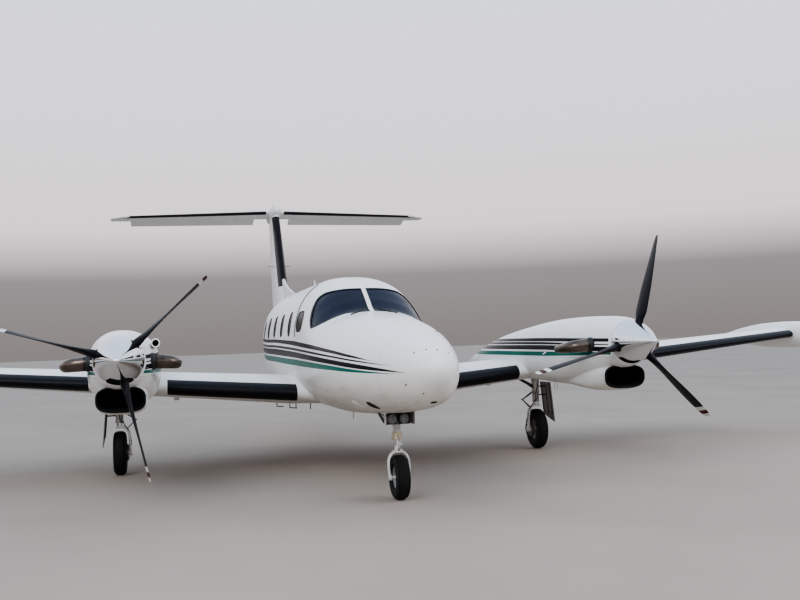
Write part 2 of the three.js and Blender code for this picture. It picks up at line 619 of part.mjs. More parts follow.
function nacelle() {
  const bay = nacelleLoft(-COWL).intersect(box(1500, 4000, ENGINE_BAY.front, ENGINE_BAY.end,
    ENGINE_BAY.floor, 2500));
  const shaftHole = rod([PROP_X, 0, PROP_Z], [PROP_X, 400, PROP_Z], SHAFT_HOLE_R, SHAFT_HOLE_R, 24);
  const { halfW, halfH, z, front, depth } = INTAKE;
  const duct = intakeLoft([[front, halfW, halfH, z], [depth, halfW, halfH, z]]);
  const stubs = union(exhaustPipe(1, SEAT_GAP), exhaustPipe(-1, SEAT_GAP));
  return union(nacelleLoft(0), intakeLoft(SCOOP))
    .subtract(union(bay, shaftHole, duct, stubs, wingLoft(SEAT_GAP), legSlot(), sideBrace(SEAT_GAP)));
}

function engine() {
  const core = rod([PROP_X, 440, PROP_Z], [PROP_X, ENGINE_BAY.end - SEAT_GAP, PROP_Z],
    ENGINE_R, ENGINE_R, 20);
  const shaft = rod([PROP_X, PROP_Y + HUB_BACK + SEAT_GAP, PROP_Z], [PROP_X, 445, PROP_Z],
    SHAFT_R, SHAFT_R, 12);
  return union(core, shaft).subtract(union(exhaustPipe(1, SEAT_GAP), exhaustPipe(-1, SEAT_GAP)));
}

// Propeller about its own axis, blades feathered
// Blade sections: radius, half chord, half thickness, twist in degrees
const BLADE = [[150, 44, 44, 10], [245, 46, 40, 9], [330, 92, 28, 8], [600, 105, 14, 2],
  [986, 84, 9, -8], [PROP_R, 44, 4, -13]];
// Spinner wall, outside then inside: distance aft of the blades, radius
const SPINNER = [[-462, 0], [-440, 30], [-287, 106], [-107, 186], [-7, 221], [78, 241], [78, 229],
  [-7, 208], [-107, 172], [-287, 88], [-400, 0]];
const SPINNER_PLATE = { front: 60, r: 230 };
const BLADE_HOLE_R = 60;

function blade(angle) {
  const rings = BLADE.map(([r, chord, thick, twist]) => {
    const [c, s] = [Math.cos(twist * Math.PI / 180), Math.sin(twist * Math.PI / 180)];
    return Array.from({ length: 6 }, (_, i) => {
      const [u, v] = [chord * Math.cos((Math.PI * i) / 3), thick * Math.sin((Math.PI * i) / 3)];
      return new THREE.Vector3(v * c - u * s, u * c + v * s, r)
        .applyAxisAngle(new THREE.Vector3(0, 1, 0), angle).toArray();
    });
  });
  return loft(rings.map((ring) => ring.reverse()));
}

function propeller(firstAngle) {
  const angles = [0, 1, 2].map((k) => (firstAngle * Math.PI) / 180 + (2 * Math.PI * k) / 3);
  const hub = rod([0, -90, 0], [0, HUB_BACK, 0], HUB_R, HUB_R, 12);
  const shanks = angles.map((angle) =>
    rod([0, 0, 0], [170 * Math.sin(angle), 0, 170 * Math.cos(angle)], 46, 46, 8));
  return union(hub, ...shanks, ...angles.map(blade));
}

function spinner(firstAngle) {
  const points = SPINNER.map(([y, r]) => new THREE.Vector2(r, y));
  let shell = solid(new THREE.LatheGeometry(points, 18));
  for (let k = 0; k < 3; k++) {
    const angle = (firstAngle * Math.PI) / 180 + (2 * Math.PI * k) / 3;
    shell = shell.subtract(rod([110 * Math.sin(angle), 0, 110 * Math.cos(angle)],
      [400 * Math.sin(angle), 0, 400 * Math.cos(angle)], BLADE_HOLE_R, BLADE_HOLE_R, 10));
  }
  const { front, r } = SPINNER_PLATE;
  return union(shell, rod([0, front, 0], [0, HUB_BACK, 0], r, r, 18))
    .subtract(rod([0, front - 10, 0], [0, HUB_BACK + 10, 0], HUB_R + SEAT_GAP, HUB_R + SEAT_GAP, 12));
}

function powerplants() {
  addPair('nacelle', nacelle(), 'white');
  addPair('engine', engine(), 'engine');
  addPair('exhaust_inboard', exhaust(-1), 'bronze');
  addPair('exhaust_outboard', exhaust(1), 'bronze');
  for (const [side, sign] of [['l', 1], ['r', -1]]) {
    const place = [sign * PROP_X, PROP_Y, PROP_Z];
    add(`propeller_${side}`, propeller(BLADE_ANGLE[side]), 'blade', place);
    add(`spinner_${side}`, spinner(BLADE_ANGLE[side]), 'chrome', place);
  }
}

// Tail
const tailplaneLoft = (grow) => {
  const port = TAILPLANE.map((row) => wingRing(row, 0, grow));
  const starboard = TAILPLANE.slice(1).reverse().map(([x, ...rest]) => wingRing([-x, ...rest], 0, grow));
  return loft([...starboard, ...port]);
};

function finRing([z, leadY, chord, thickness]) {
  return aerofoil(thickness, 0).map(([u, v]) => [-v * chord, leadY + u * chord, z]);
}

// Inside of the fin ahead of the rudder, open to the tail cone
function finSpace() {
  const ring = ([z, leadY, chord, thickness]) => {
    const [front, back] = [leadY + 0.06 * chord, leadY + 0.66 * chord];
    const half = 0.42 * thickness * chord - TAIL_WALL;
    return [[-half, front + 260, z], [0, front, z], [half, front + 260, z], [half * 0.7, back, z],
      [-half * 0.7, back, z]];
  };
  const rows = FIN.map((row) => row.slice());
  rows[2][0] -= 160;
  return loft(rows.map(ring));
}

function rudderParts(finBody) {
  const { low, high, hingeLow, hingeHigh, nose } = RUDDER;
  const slope = (hingeHigh - hingeLow) / (high - low);
  const at = (z) => [0, hingeLow + slope * (z - low), z];
  const region = (grow, wide = false) => {
    const back = wide ? 400 : 0;
    return prism([[at(low)[1] - back, low - grow], [at(high)[1] - back, high + grow],
      [12200, high + grow], [12200, low - grow]], 'x', -300, 300);
  };
  return swung(finBody, at(low - 5), at(high + 5), ...nose, region);
}

function elevatorParts(body) {
  const { inner, outer, hingeY, hingeZ, rise, nose } = ELEVATOR;
  const at = (x) => [x, hingeY, hingeZ + rise * x];
  const region = (grow, wide = false) =>
    box(inner - grow, outer + grow, hingeY - (wide ? 400 : 0), 12200, 4000, 4600);
  return swung(body, at(inner - 5), at(outer + 5), ...nose, region);
}

// The elevator turned about its hinge line to where it hangs while parked
function drooped(elevator) {
  const { inner, hingeY, hingeZ, rise } = ELEVATOR;
  const pivot = new THREE.Vector3(inner, hingeY, hingeZ + rise * inner);
  const axis = new THREE.Vector3(1, 0, rise).normalize();
  const turn = new THREE.Matrix4().makeRotationAxis(axis, -ELEVATOR_DROOP * Math.PI / 180);
  const geometry = toGeometry(elevator).translate(-pivot.x, -pivot.y, -pivot.z).applyMatrix4(turn);
  return solid(geometry.translate(...pivot.toArray()));
}

function tail() {
  const finBody = loft(FIN.map(finRing));
  const { moving: rudder, cut: rudderCut, pins: rudderPins } = rudderParts(finBody);
  const bullet = ovalLoft(BULLET.map(([y, w, top, bottom]) => [y, w, top, bottom, (top + bottom) / 2]),
    { sides: 20 });
  const dorsal = prism(DORSAL, 'x', -28, 28);
  const fin = union(finBody.subtract(rudderCut).subtract(finSpace()), bullet, dorsal, rudderPins)
    .subtract(union(aroundHull, tailplaneLoft(SEAT_GAP)));
  const { moving: elevator, cut, pins } = elevatorParts(tailplaneLoft(0));
  add('fin', fin, 'white');
  add('rudder', rudder, 'white');
  const carrier = tailplaneLoft(0).subtract(union(cut, mirrored(cut)));
  add('tailplane', union(carrier, pins, mirrored(pins)), 'white');
  addPair('elevator', drooped(elevator), 'white');
}

// Landing gear
function tyre({ r, width, rim }, segments) {
  const half = width / 2;
  const profile = [[-half * 0.62, rim + 3], [-half, rim + 0.45 * (r - rim)],
    [-half * 0.84, rim + 0.84 * (r - rim)], [-half * 0.4, r]];
  const other = profile.map(([x, y]) => [-x, y]).reverse();
  return turned([...profile, ...other], segments);
}

function wheelRim({ width, rim, hub, axle }, segments) {
  const half = width / 2;
  const profile = [[-half * 0.62, rim + 1], [half * 0.62, rim + 1], [half * 0.62, rim - 20],
    [half * 0.22, rim - 30], [half * 0.22, hub + 12], [half * 0.5, hub], [half * 0.5, axle + 1],
    [-half * 0.5, axle + 1], [-half * 0.5, hub], [-half * 0.22, hub + 12], [-half * 0.22, rim - 30],
    [-half * 0.62, rim - 20]];
  return turned(profile, segments);
}

const NOSE_AXLE_Z = NOSE_WHEEL.r;
const MAIN_AXLE = [TRACK / 2, WHEELBASE, MAIN_WHEEL.r];
const rakeTan = Math.tan(STEER_RAKE * Math.PI / 180);
const steer = (z, x = 0) => [x, (z - NOSE_AXLE_Z) * rakeTan, z];
// Side brace of a main leg, from the leg up into the wing
const SIDE_BRACE = { reach: 345, low: 866, high: 1060, r: 20 };

function noseLeg() {
  const strut = rod(steer(640), steer(1144), 38, 46, 12);
  const lamps = [-66, 66].map((x) => union(rod([x, -40, 812], [x, 30, 812], 55, 40, 12),
    rod([0, 70, 812], [x, 10, 812], 12, 12, 6)));
  const lampPlate = box(-125, 125, 20, 32, 758, 866);
  const brace = rod(steer(760), [0, 600, 1134], 18, 18, 8);
  return union(strut, brace, lampPlate, ...lamps);
}

function noseFork() {
  const piston = rod(steer(478), steer(639.6), 27, 27, 10);
  const crown = box(-98, 98, 10, 56, 462, 492);
  const arms = [-1, 1].map((s) => union(
    rod([s * 95, 33, 480], [s * 95, 2, NOSE_AXLE_Z], 14, 14, 8),
    rod([s * 82, 0, NOSE_AXLE_Z], [s * 110, 0, NOSE_AXLE_Z], 28, 28, 10)));
  const axle = rod([-84, 0, NOSE_AXLE_Z], [84, 0, NOSE_AXLE_Z], NOSE_WHEEL.axle, NOSE_WHEEL.axle, 12);
  const links = union(rod([0, -60, 560], [0, 20, 485], 9, 9, 6),
    rod([0, -60, 560], [0, 40, 622], 9, 9, 6));
  return union(piston, crown, ...arms, axle, links);
}

function noseGear() {
  add('nose_leg', noseLeg(), 'steel');
  add('nose_fork', noseFork(), 'steel');
  add('nose_rim', wheelRim(NOSE_WHEEL, 16), 'steel', [0, 0, NOSE_AXLE_Z]);
  add('nose_tyre', tyre(NOSE_WHEEL, 24), 'rubber', [0, 0, NOSE_AXLE_Z]);
  addPair('nose_gear_door', prism(NOSE_DOOR, 'x', NOSE_WELL.halfW - 9, NOSE_WELL.halfW), 'white');
}

function sideBrace(grow) {
  const [x, y] = MAIN_AXLE;
  const { reach, low, high, r } = SIDE_BRACE;
  return rod([x, y, low], [x - reach - grow, y, high + grow], r + grow, r + grow, 8);
}

function mainLeg() {
  const [x, y, z] = MAIN_AXLE;
  const cylinder = rod([x, y, 700], [x, y, LEG_TOP], 52, 58, 14);
  const piston = rod([x, y, 596], [x, y, 710], 36, 36, 12);
  const arm = union(rod([x, y, 618], [x - 128, y, 560], 30, 26, 10),
    rod([x - 128, y, 566], [x - 124, y, z], 26, 30, 10));
  const axle = rod([x - 126, y, z], [x + 60, y, z], MAIN_WHEEL.axle, MAIN_WHEEL.axle, 12);
  const links = union(rod([x - 40, y, 800], [x - 205, y, 700], 12, 12, 6),
    rod([x - 205, y, 700], [x - 90, y, 580], 12, 12, 6));
  return union(cylinder, piston, arm, axle, links, sideBrace(0));
}

function mainDoor() {
  const [x, y] = MAIN_AXLE;
  const section = [[x + 148, 940], [x + 158, 940], [x + 208, 372], [x + 198, 372]];
  const leaf = prism(section, 'y', y - 190, y + 190);
  const links = [880, 760].map((z, i) => rod([x + 30, y, z], [x + 157 + 10 * i, y, z], 10, 10, 6));
  const leg = rod([x, y, 700], [x, y, LEG_TOP], 52 + SEAT_GAP, 58 + SEAT_GAP, 14);
  return union(leaf, ...links).subtract(leg);
}

function mainGear() {
  const [x, y, z] = MAIN_AXLE;
  addPair('main_leg', mainLeg(), 'steel');
  addPair('main_gear_door', mainDoor(), 'white');
  for (const [side, sign] of [['l', 1], ['r', -1]]) {
    add(`main_rim_${side}`, wheelRim(MAIN_WHEEL, 16), 'steel', [sign * x, y, z]);
    add(`main_tyre_${side}`, tyre(MAIN_WHEEL, 24), 'rubber', [sign * x, y, z]);
  }
}

fuselage();
interior();
wings();
powerplants();
tail();
noseGear();
mainGear();

export default group;
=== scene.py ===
import math

import bpy
import numpy as np
from mathutils import Matrix, Vector
from mathutils.bvhtree import BVHTree


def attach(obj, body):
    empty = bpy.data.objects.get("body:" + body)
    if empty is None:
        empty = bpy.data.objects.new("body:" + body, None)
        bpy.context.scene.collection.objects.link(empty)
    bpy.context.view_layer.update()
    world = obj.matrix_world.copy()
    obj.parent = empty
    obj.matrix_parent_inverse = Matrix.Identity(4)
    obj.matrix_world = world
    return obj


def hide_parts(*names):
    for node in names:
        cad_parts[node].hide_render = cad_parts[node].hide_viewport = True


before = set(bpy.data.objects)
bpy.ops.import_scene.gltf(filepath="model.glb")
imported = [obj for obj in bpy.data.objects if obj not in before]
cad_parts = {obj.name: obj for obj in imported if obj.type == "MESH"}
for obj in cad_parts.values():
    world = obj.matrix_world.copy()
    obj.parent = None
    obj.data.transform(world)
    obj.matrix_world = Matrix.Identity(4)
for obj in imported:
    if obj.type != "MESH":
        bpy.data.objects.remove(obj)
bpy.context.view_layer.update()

# Tables are in millimetres and measure y aft from the nose wheel axle, as the part's source does.
AXLE_Y = -5.015                      # that axle in the frame, metres
TRACK_X, BASE_Y = 2.872, 3451
PROP_X, PROP_Y, PROP_Z = 2.708, 62, 1.505
BLADE_ANGLE = {"l": 15.4, "r": 47.1}
WALL = 60
ALONG_X, ALONG_Y = (1, 0, 0), (0, 1, 0)


def at(x, y, z):
    """A point in millimetres to the frame's metres."""
    return (x / 1000, y / 1000 + AXLE_Y, z / 1000)


# Curves and lofts
def circle(sides):
    return np.linspace(0, 2 * np.pi, sides, endpoint=False)


def bent(v, power):
    """A power that keeps the sign."""
    return np.sign(v) * np.abs(v) ** power


def superellipse(sides, power):
    """Unit outline; the corners get squarer as the power grows."""
    a = circle(sides)
    return bent(np.cos(a), 2 / power), bent(np.sin(a), 2 / power)


def cos_sin(degrees):
    return math.cos(math.radians(degrees)), math.sin(math.radians(degrees))


def pchip(t, v):
    """Monotone cubic through the points (t, v); v may have several columns."""
    t, v = np.asarray(t, float), np.asarray(v, float)
    h = np.diff(t)[:, None]
    d = np.diff(v, axis=0) / h
    m = np.zeros_like(v)
    same = d[1:] * d[:-1] > 0
    w1, w2 = 2 * h[1:] + h[:-1], h[1:] + 2 * h[:-1]
    safe = lambda a: np.where(same, a, 1.0)
    m[1:-1] = np.where(same, (w1 + w2) / (w1 / safe(d[:-1]) + w2 / safe(d[1:])), 0.0)
    m[0], m[-1] = d[0], d[-1]

    def f(x):
        x = np.atleast_1d(np.asarray(x, float))
        i = np.clip(np.searchsorted(t, x) - 1, 0, len(t) - 2)
        s = ((x - t[i]) / (t[i + 1] - t[i]))[:, None]
        hh = (t[i + 1] - t[i])[:, None]
        return ((2 * s**3 - 3 * s**2 + 1) * v[i] + (s**3 - 2 * s**2 + s) * hh * m[i]
                + (3 * s**2 - 2 * s**3) * v[i + 1] + (s**3 - s**2) * hh * m[i + 1])
    return f


class Hull:
    """Smooth body of superellipse sections: y, half width, top, bottom, widest, powers."""

    def __init__(self, rows, x0=0.0, round_front=False, round_back=False):
        rows = np.array([list(r) + [2.0] * (7 - len(r)) for r in rows], float)
        self.x0 = x0
        if round_front:
            rows = np.vstack([self._ghost(rows[1], rows[0]), rows])
        if round_back:
            rows = np.vstack([rows, self._ghost(rows[-2], rows[-1])])
        t = np.concatenate([[0], np.cumsum(np.linalg.norm(np.diff(rows[:, :4], axis=0), axis=1))])
        self.f = pchip(t, rows)
        first = t[1] + 0.02 * (t[2] - t[1]) if round_front else t[0]
        last = t[-2] - 0.02 * (t[-2] - t[-3]) if round_back else t[-1]
        self.ts = np.linspace(first, last, 6000)
        self.ys = np.maximum.accumulate(self.f(self.ts)[:, 0])

    @staticmethod
    def _ghost(row, pole):
        g = row.copy()
        g[1] = 2 * pole[1] - row[1]
        g[2], g[3] = 2 * pole[2] - row[2], 2 * pole[3] - row[3]
        return g

    def params(self, y):
        return self.f(np.interp(y, self.ys, self.ts))

    def stations(self, y0, y1, step):
        """Values of the curve's parameter, closer together along y where the section changes fast."""
        a, b = np.interp([y0, y1], self.ys, self.ts)
        n = max(2, int(math.ceil((b - a) / step)) + 1)
        return np.linspace(a, b, n)

    def rings(self, y0, y1, step=50, sides=96, grow=0.0):
        a = circle(sides)
        c, s = np.cos(a), np.sin(a)
        out = []
        for y, w, top, bottom, widest, n_top, n_bottom in self.f(self.stations(y0, y1, step)):
            p = 2 / np.where(s >= 0, n_top, n_bottom)
            h = np.where(s >= 0, top - widest, widest - bottom)
            out.append(np.stack([self.x0 + (w + grow) * bent(c, p), np.full(sides, y),
                                 widest + (h + grow) * bent(s, p)], 1))
        return out

    def skin(self, y, z, side=1, grow=0.0):
        """Half width point of the skin at y and height z."""
        _, w, top, bottom, widest, n_top, n_bottom = self.params(y)[0]
        h, n = (top - widest, n_top) if z > widest else (widest - bottom, n_bottom)
        x = (w + grow) * max(0.0, 1 - abs((z - widest) / (h + grow)) ** n) ** (1 / n)
        return (self.x0 + side * x, y, z)


def loft(rings, closed=False, caps=True, wrap=True):
    """Vertices and faces of rings with equal counts; the ends get fans unless closed."""
    n, m = len(rings[0]), len(rings)
    verts = [tuple(p) for r in rings for p in r]
    faces = []
    for r in range(m if closed else m - 1):
        a, b = r * n, ((r + 1) % m) * n
        faces += [(a + i, a + (i + 1) % n, b + (i + 1) % n, b + i) for i in range(n if wrap else n - 1)]
    if caps and not closed:
        for r, flip in ((0, True), (m - 1, False)):
            verts.append(tuple(np.mean(rings[r], axis=0)))
            k = len(verts) - 1
            for i in range(n):
                e = (k, r * n + i, r * n + (i + 1) % n)
                faces.append(e[::-1] if flip else e)
    return verts, faces


def tri_volume(verts, faces):
    v = np.asarray(verts, float)
    v = v - v.mean(axis=0)
    total = 0.0
    for f in faces:
        for i in range(1, len(f) - 1):
            total += np.dot(v[f[0]], np.cross(v[f[i]], v[f[i + 1]]))
    return total


def build(verts, faces, name="tmp", raw=False):
    """Object from vertices in millimetres; the faces are turned to look out."""
    if tri_volume(verts, faces) < 0:
        faces = [f[::-1] for f in faces]
    me = bpy.data.meshes.new(name)
    me.from_pydata(verts if raw else [at(*p) for p in verts], [], faces)
    me.update()
    ob = bpy.data.objects.new(name, me)
    bpy.context.scene.collection.objects.link(ob)
    return ob


def loft_object(rings, closed=False, caps=True, wrap=True):
    return build(*loft(rings, closed, caps, wrap))


def drop(*obs):
    for o in obs:
        me = o.data
        bpy.data.objects.remove(o)
        if me.users == 0:
            bpy.data.meshes.remove(me)


def evaluated(ob):
    dg = bpy.context.evaluated_depsgraph_get()
    me = bpy.data.meshes.new_from_object(ob.evaluated_get(dg), depsgraph=dg)
    old = ob.data
    ob.modifiers.clear()
    ob.data = me
    bpy.data.meshes.remove(old)
    return ob


def boolean(ob, others, operation="DIFFERENCE", keep=False):
    """Booleans with the manifold solver; the other bodies are used up unless keep is set."""
    for o in others:
        m = ob.modifiers.new("b", "BOOLEAN")
        m.operation, m.object, m.solver = operation, o, "MANIFOLD"
        evaluated(ob)
    if not keep:
        drop(*others)
    return ob


cut = lambda ob, *others, keep=False: boolean(ob, others, "DIFFERENCE", keep)
join = lambda ob, *others, keep=False: boolean(ob, others, "UNION", keep)
common = lambda ob, *others, keep=False: boolean(ob, others, "INTERSECT", keep)


def copy(ob):
    o = ob.copy()
    o.data = ob.data.copy()
    bpy.context.scene.collection.objects.link(o)
    return o


def box(x0, x1, y0, y1, z0, z1):
    return loft_object([[(x0, y, z0), (x1, y, z0), (x1, y, z1), (x0, y, z1)] for y in (y0, y1)])


def prism(outline, axis, a, b):
    """A flat outline pushed along an axis: 'x' takes y,z points, 'y' takes x,z and 'z' takes x,y."""
    place = {"x": lambda u, v, w: (w, u, v), "y": lambda u, v, w: (u, w, v),
             "z": lambda u, v, w: (u, v, w)}[axis]
    n = len(outline)
    verts = [place(u, v, w) for w in (a, b) for u, v in outline]
    sides = [(i, (i + 1) % n, n + (i + 1) % n, n + i) for i in range(n)]
    return build(verts, sides + [tuple(range(n - 1, -1, -1)), tuple(range(n, 2 * n))])


def signed_area(p):
    p = np.asarray(p, float)
    q = np.roll(p, -1, axis=0)
    return 0.5 * np.sum(p[:, 0] * q[:, 1] - q[:, 0] * p[:, 1])


def settle(ob, matrix):
    """Moves a mesh by a matrix in metres about the nose wheel axle's place on the ground."""
    ob.data.transform(Matrix.Translation((0, -AXLE_Y, 0)))
    ob.data.transform(Matrix.Translation((0, AXLE_Y, 0)) @ matrix)
    return ob


def rod(a, b, r0, r1=None, sides=24):
    """A round bar or cone from a to b."""
    r1 = r0 if r1 is None else r1
    a, b = Vector(a), Vector(b)
    q = (b - a).to_track_quat("Z", "Y")
    ring = lambda c, r: [tuple(c + q @ Vector((r * math.cos(t), r * math.sin(t), 0)))
                         for t in circle(sides)]
    return loft_object([ring(a, r0), ring(b, r1)])


def tube(path, radius, sides=16, closed=False):
    """A round or tapered tube along points; radius is one number or one for each point."""
    path = [Vector(p) for p in path]
    radius = [radius] * len(path) if np.isscalar(radius) else radius
    rings, side = [], None
    for i, p in enumerate(path):
        ahead = path[(i + 1) % len(path)] if closed or i + 1 < len(path) else p
        behind = path[i - 1] if closed or i else p
        t = (ahead - behind).normalized()
        side = t.orthogonal().normalized() if side is None else (side - t * side.dot(t)).normalized()
        other = t.cross(side)
        rings.append([tuple(p + (side * math.cos(a) + other * math.sin(a)) * radius[i])
                      for a in circle(sides)])
    return loft_object(rings, closed)


def smooth_path(points, n=40):
    p = np.asarray(points, float)
    t = np.concatenate([[0], np.cumsum(np.linalg.norm(np.diff(p, axis=0), axis=1))])
    return pchip(t, p)(np.linspace(0, t[-1], n))


def lathe(profile, origin, axis="y", sides=64):
    """Closed profile of (along, radius) turned round an axis through origin; radius 0 ends close it."""
    origin = np.array(origin, float)
    frames = {"x": ((1, 0, 0), (0, 1, 0), (0, 0, 1)), "y": ((0, 1, 0), (1, 0, 0), (0, 0, 1)),
              "z": ((0, 0, 1), (1, 0, 0), (0, 1, 0))}
    w, u, v = (np.array(a, float) for a in frames[axis])
    ang = circle(sides)
    rings = []
    ends = [profile[0][1] < 1e-6, profile[-1][1] < 1e-6]
    for along, r in profile:
        rings.append([origin + w * along + (u * math.cos(t) + v * math.sin(t)) * r for t in ang])
    if all(ends):
        verts, faces = loft(rings[1:-1])
        verts[-2], verts[-1] = tuple(rings[0][0]), tuple(rings[-1][0])
        return build(verts, faces)
    return build(*loft(rings, closed=True))


def corner(a, c, b, ra, rb, steps=6):
    """Curve that cuts the corner c between a and b, from ra before it to rb after it."""
    s, e = c + (a - c).normalized() * ra, c + (b - c).normalized() * rb
    return [tuple(s * (1 - t) ** 2 + c * (2 * t * (1 - t)) + e * t * t) for t in np.linspace(0, 1, steps)]


def rounded(outline, r, steps=6):
    """Polygon with each corner replaced by an arc-like curve that starts r before it."""
    p = [Vector(q) for q in outline]
    out = []
    for i, c in enumerate(p):
        a, b = p[i - 1], p[(i + 1) % len(p)]
        out += corner(a, c, b, min(r, (a - c).length * 0.49), min(r, (b - c).length * 0.49), steps)
    return out


def bar(outline, r, steps, axis, a, b):
    """A prism whose long edges are rounded."""
    return prism(rounded(outline, r, steps), axis, a, b)


def round_rect(u0, u1, v0, v1, r, steps=8):
    out = []
    for cu, cv, a0 in ((u1 - r, v1 - r, 0), (u0 + r, v1 - r, 90), (u0 + r, v0 + r, 180),
                       (u1 - r, v0 + r, 270)):
        for k in range(steps + 1):
            a = math.radians(a0 + 90 * k / steps)
            out.append((cu + r * math.cos(a), cv + r * math.sin(a)))
    return out


def offset(outline, d):
    """A dense outline moved outwards by d."""
    p = np.asarray(outline, float)
    sign = 1 if signed_area(p) > 0 else -1
    t = np.roll(p, -1, axis=0) - np.roll(p, 1, axis=0)
    t /= np.maximum(np.linalg.norm(t, axis=1, keepdims=True), 1e-9)
    return [tuple(q) for q in p + sign * d * np.stack([t[:, 1], -t[:, 0]], 1)]


class Ref:
    """Smooth reference surface that lends its normals to pieces cut from it."""

    def __init__(self, rings, caps=False, wrap=True):
        ob = loft_object(rings, caps=caps, wrap=wrap)
        me = ob.data
        me.calc_loop_triangles()
        self.v = [x.co.copy() for x in me.vertices]
        self.n = [x.vector.copy() for x in me.vertex_normals]
        self.t = [tuple(t.vertices) for t in me.loop_triangles]
        self.tree = BVHTree.FromPolygons(self.v, self.t, all_triangles=True)
        drop(ob)

    def normal(self, p, reach):
        loc, _, i, _ = self.tree.find_nearest(p, reach)
        if loc is None:
            return None
        a, b, c = self.t[i]
        va, vb, vc = self.v[a], self.v[b], self.v[c]
        full = (vb - va).cross(vc - va)
        area = full.length_squared
        if area < 1e-18:
            return self.n[a]
        u = (vb - loc).cross(vc - loc).dot(full) / area
        w = (vc - loc).cross(va - loc).dot(full) / area
        return (self.n[a] * u + self.n[b] * w + self.n[c] * (1 - u - w)).normalized()


def corner_normals(me):
    normals = np.zeros(len(me.loops) * 3, np.float32)
    me.corner_normals.foreach_get("vector", normals)
    return normals.reshape(-1, 3)


def set_normals(me, normals):
    me.normals_split_custom_set([tuple(n) for n in normals])


def shade(ob, refs=(), mats=(), inner=None, angle=34, reach=0.0016):
    """Smooth shading by angle, with exact normals where a face lies on a reference surface.
    Faces on a reference take that reference's material slot, the rest take slot inner."""
    me = ob.data
    me.materials.clear()
    for m in mats:
        me.materials.append(m)
    me.polygons.foreach_set("use_smooth", [True] * len(me.polygons))
    me.set_sharp_from_angle(angle=math.radians(angle))
    if not refs:
        return ob
    loops, cache = corner_normals(me), {}
    index = np.full(len(me.polygons), len(refs) if inner is None else inner, np.int32)
    for p in me.polygons:
        for k, ref in enumerate(refs):
            found = []
            for vi in p.vertices:
                if (k, vi) not in cache:
                    cache[k, vi] = ref.normal(me.vertices[vi].co, reach)
                n = cache[k, vi]
                if n is None or n.dot(p.normal) < 0.5:
                    found = None
                    break
                found.append(n)
            if found:
                index[p.index] = k
                for li, n in zip(p.loop_indices, found):
                    loops[li] = n
                break
    me.polygons.foreach_set("material_index", np.minimum(index, max(0, len(mats) - 1)))
    set_normals(me, loops)
    return ob


def mirrored(ob, name):
    o = copy(ob)
    me = o.data
    normals, order = corner_normals(me) * (-1, 1, 1), []
    for p in me.polygons:
        li = list(p.loop_indices)
        order += [li[0]] + li[:0:-1]
    me.transform(Matrix.Scale(-1, 4, (1, 0, 0)))
    me.flip_normals()
    set_normals(me, normals[order])
    o.name = me.name = name
    return o


def turn(ob, matrix):
    """Moves the mesh with its custom normals."""
    me = ob.data
    normals = corner_normals(me)
    me.transform(matrix)
    set_normals(me, normals @ np.array(matrix.to_3x3()).T)


def merge(*obs):
    """Separate bodies in one mesh; the given ones are used up."""
    verts, faces = [], []
    for o in obs:
        n = len(verts)
        verts += [tuple(v.co) for v in o.data.vertices]
        faces += [tuple(n + i for i in p.vertices) for p in o.data.polygons]
    drop(*obs)
    return build(verts, faces, raw=True)


def sweep(path, half_u, half_v, v_axis, sides=28, power=3.2):
    """A bar of rounded section along points; half_v lies along v_axis. Both sizes may be one a point."""
    path = [Vector(p) for p in path]
    hu, hv = ([h] * len(path) if np.isscalar(h) else h for h in (half_u, half_v))
    cu, cv = superellipse(sides, power)
    rings = []
    for i, p in enumerate(path):
        t = (path[min(i + 1, len(path) - 1)] - path[max(i - 1, 0)]).normalized()
        v = Vector(v_axis)
        v = (v - t * v.dot(t)).normalized()
        u = v.cross(t)
        rings.append([tuple(p + u * (hu[i] * x) + v * (hv[i] * y)) for x, y in zip(cu, cv)])
    return loft_object(rings)


BOTH = ("airframe", "airframe")


def finish(ob, name, body, replaces=()):
    ob.name = ob.data.name = name
    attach(ob, body)
    if replaces:
        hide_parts(*([replaces] if isinstance(replaces, str) else replaces))
    return ob


def pair(ob, name, bodies, replaces=None):
    """The port piece and its mirror image, each on its own body."""
    other = mirrored(ob, name + "_r")
    for o, side, body in ((ob, "l", bodies[0]), (other, "r", bodies[1])):
        finish(o, f"{name}_{side}", body, f"{replaces}_{side}" if replaces else ())
    return ob, other


def part(ob, name, mat, body="airframe", replaces=(), angle=34):
    """A piece in one material."""
    return finish(shade(ob, [], [mat], angle=angle), name, body, replaces)


def twins(ob, name, mat, replaces=None, angle=34):
    """A piece in one material on the port side of the airframe, and its mirror image."""
    return pair(shade(ob, [], [mat], angle=angle), name, BOTH, replaces)


def two_tone(ob, mats, first, angle=34):
    """Gives faces for which first is true the first material, and the rest the second."""
    shade(ob, [], mats, angle=angle)
    for p in ob.data.polygons:
        p.material_index = 0 if first(p.normal) else 1
    return ob


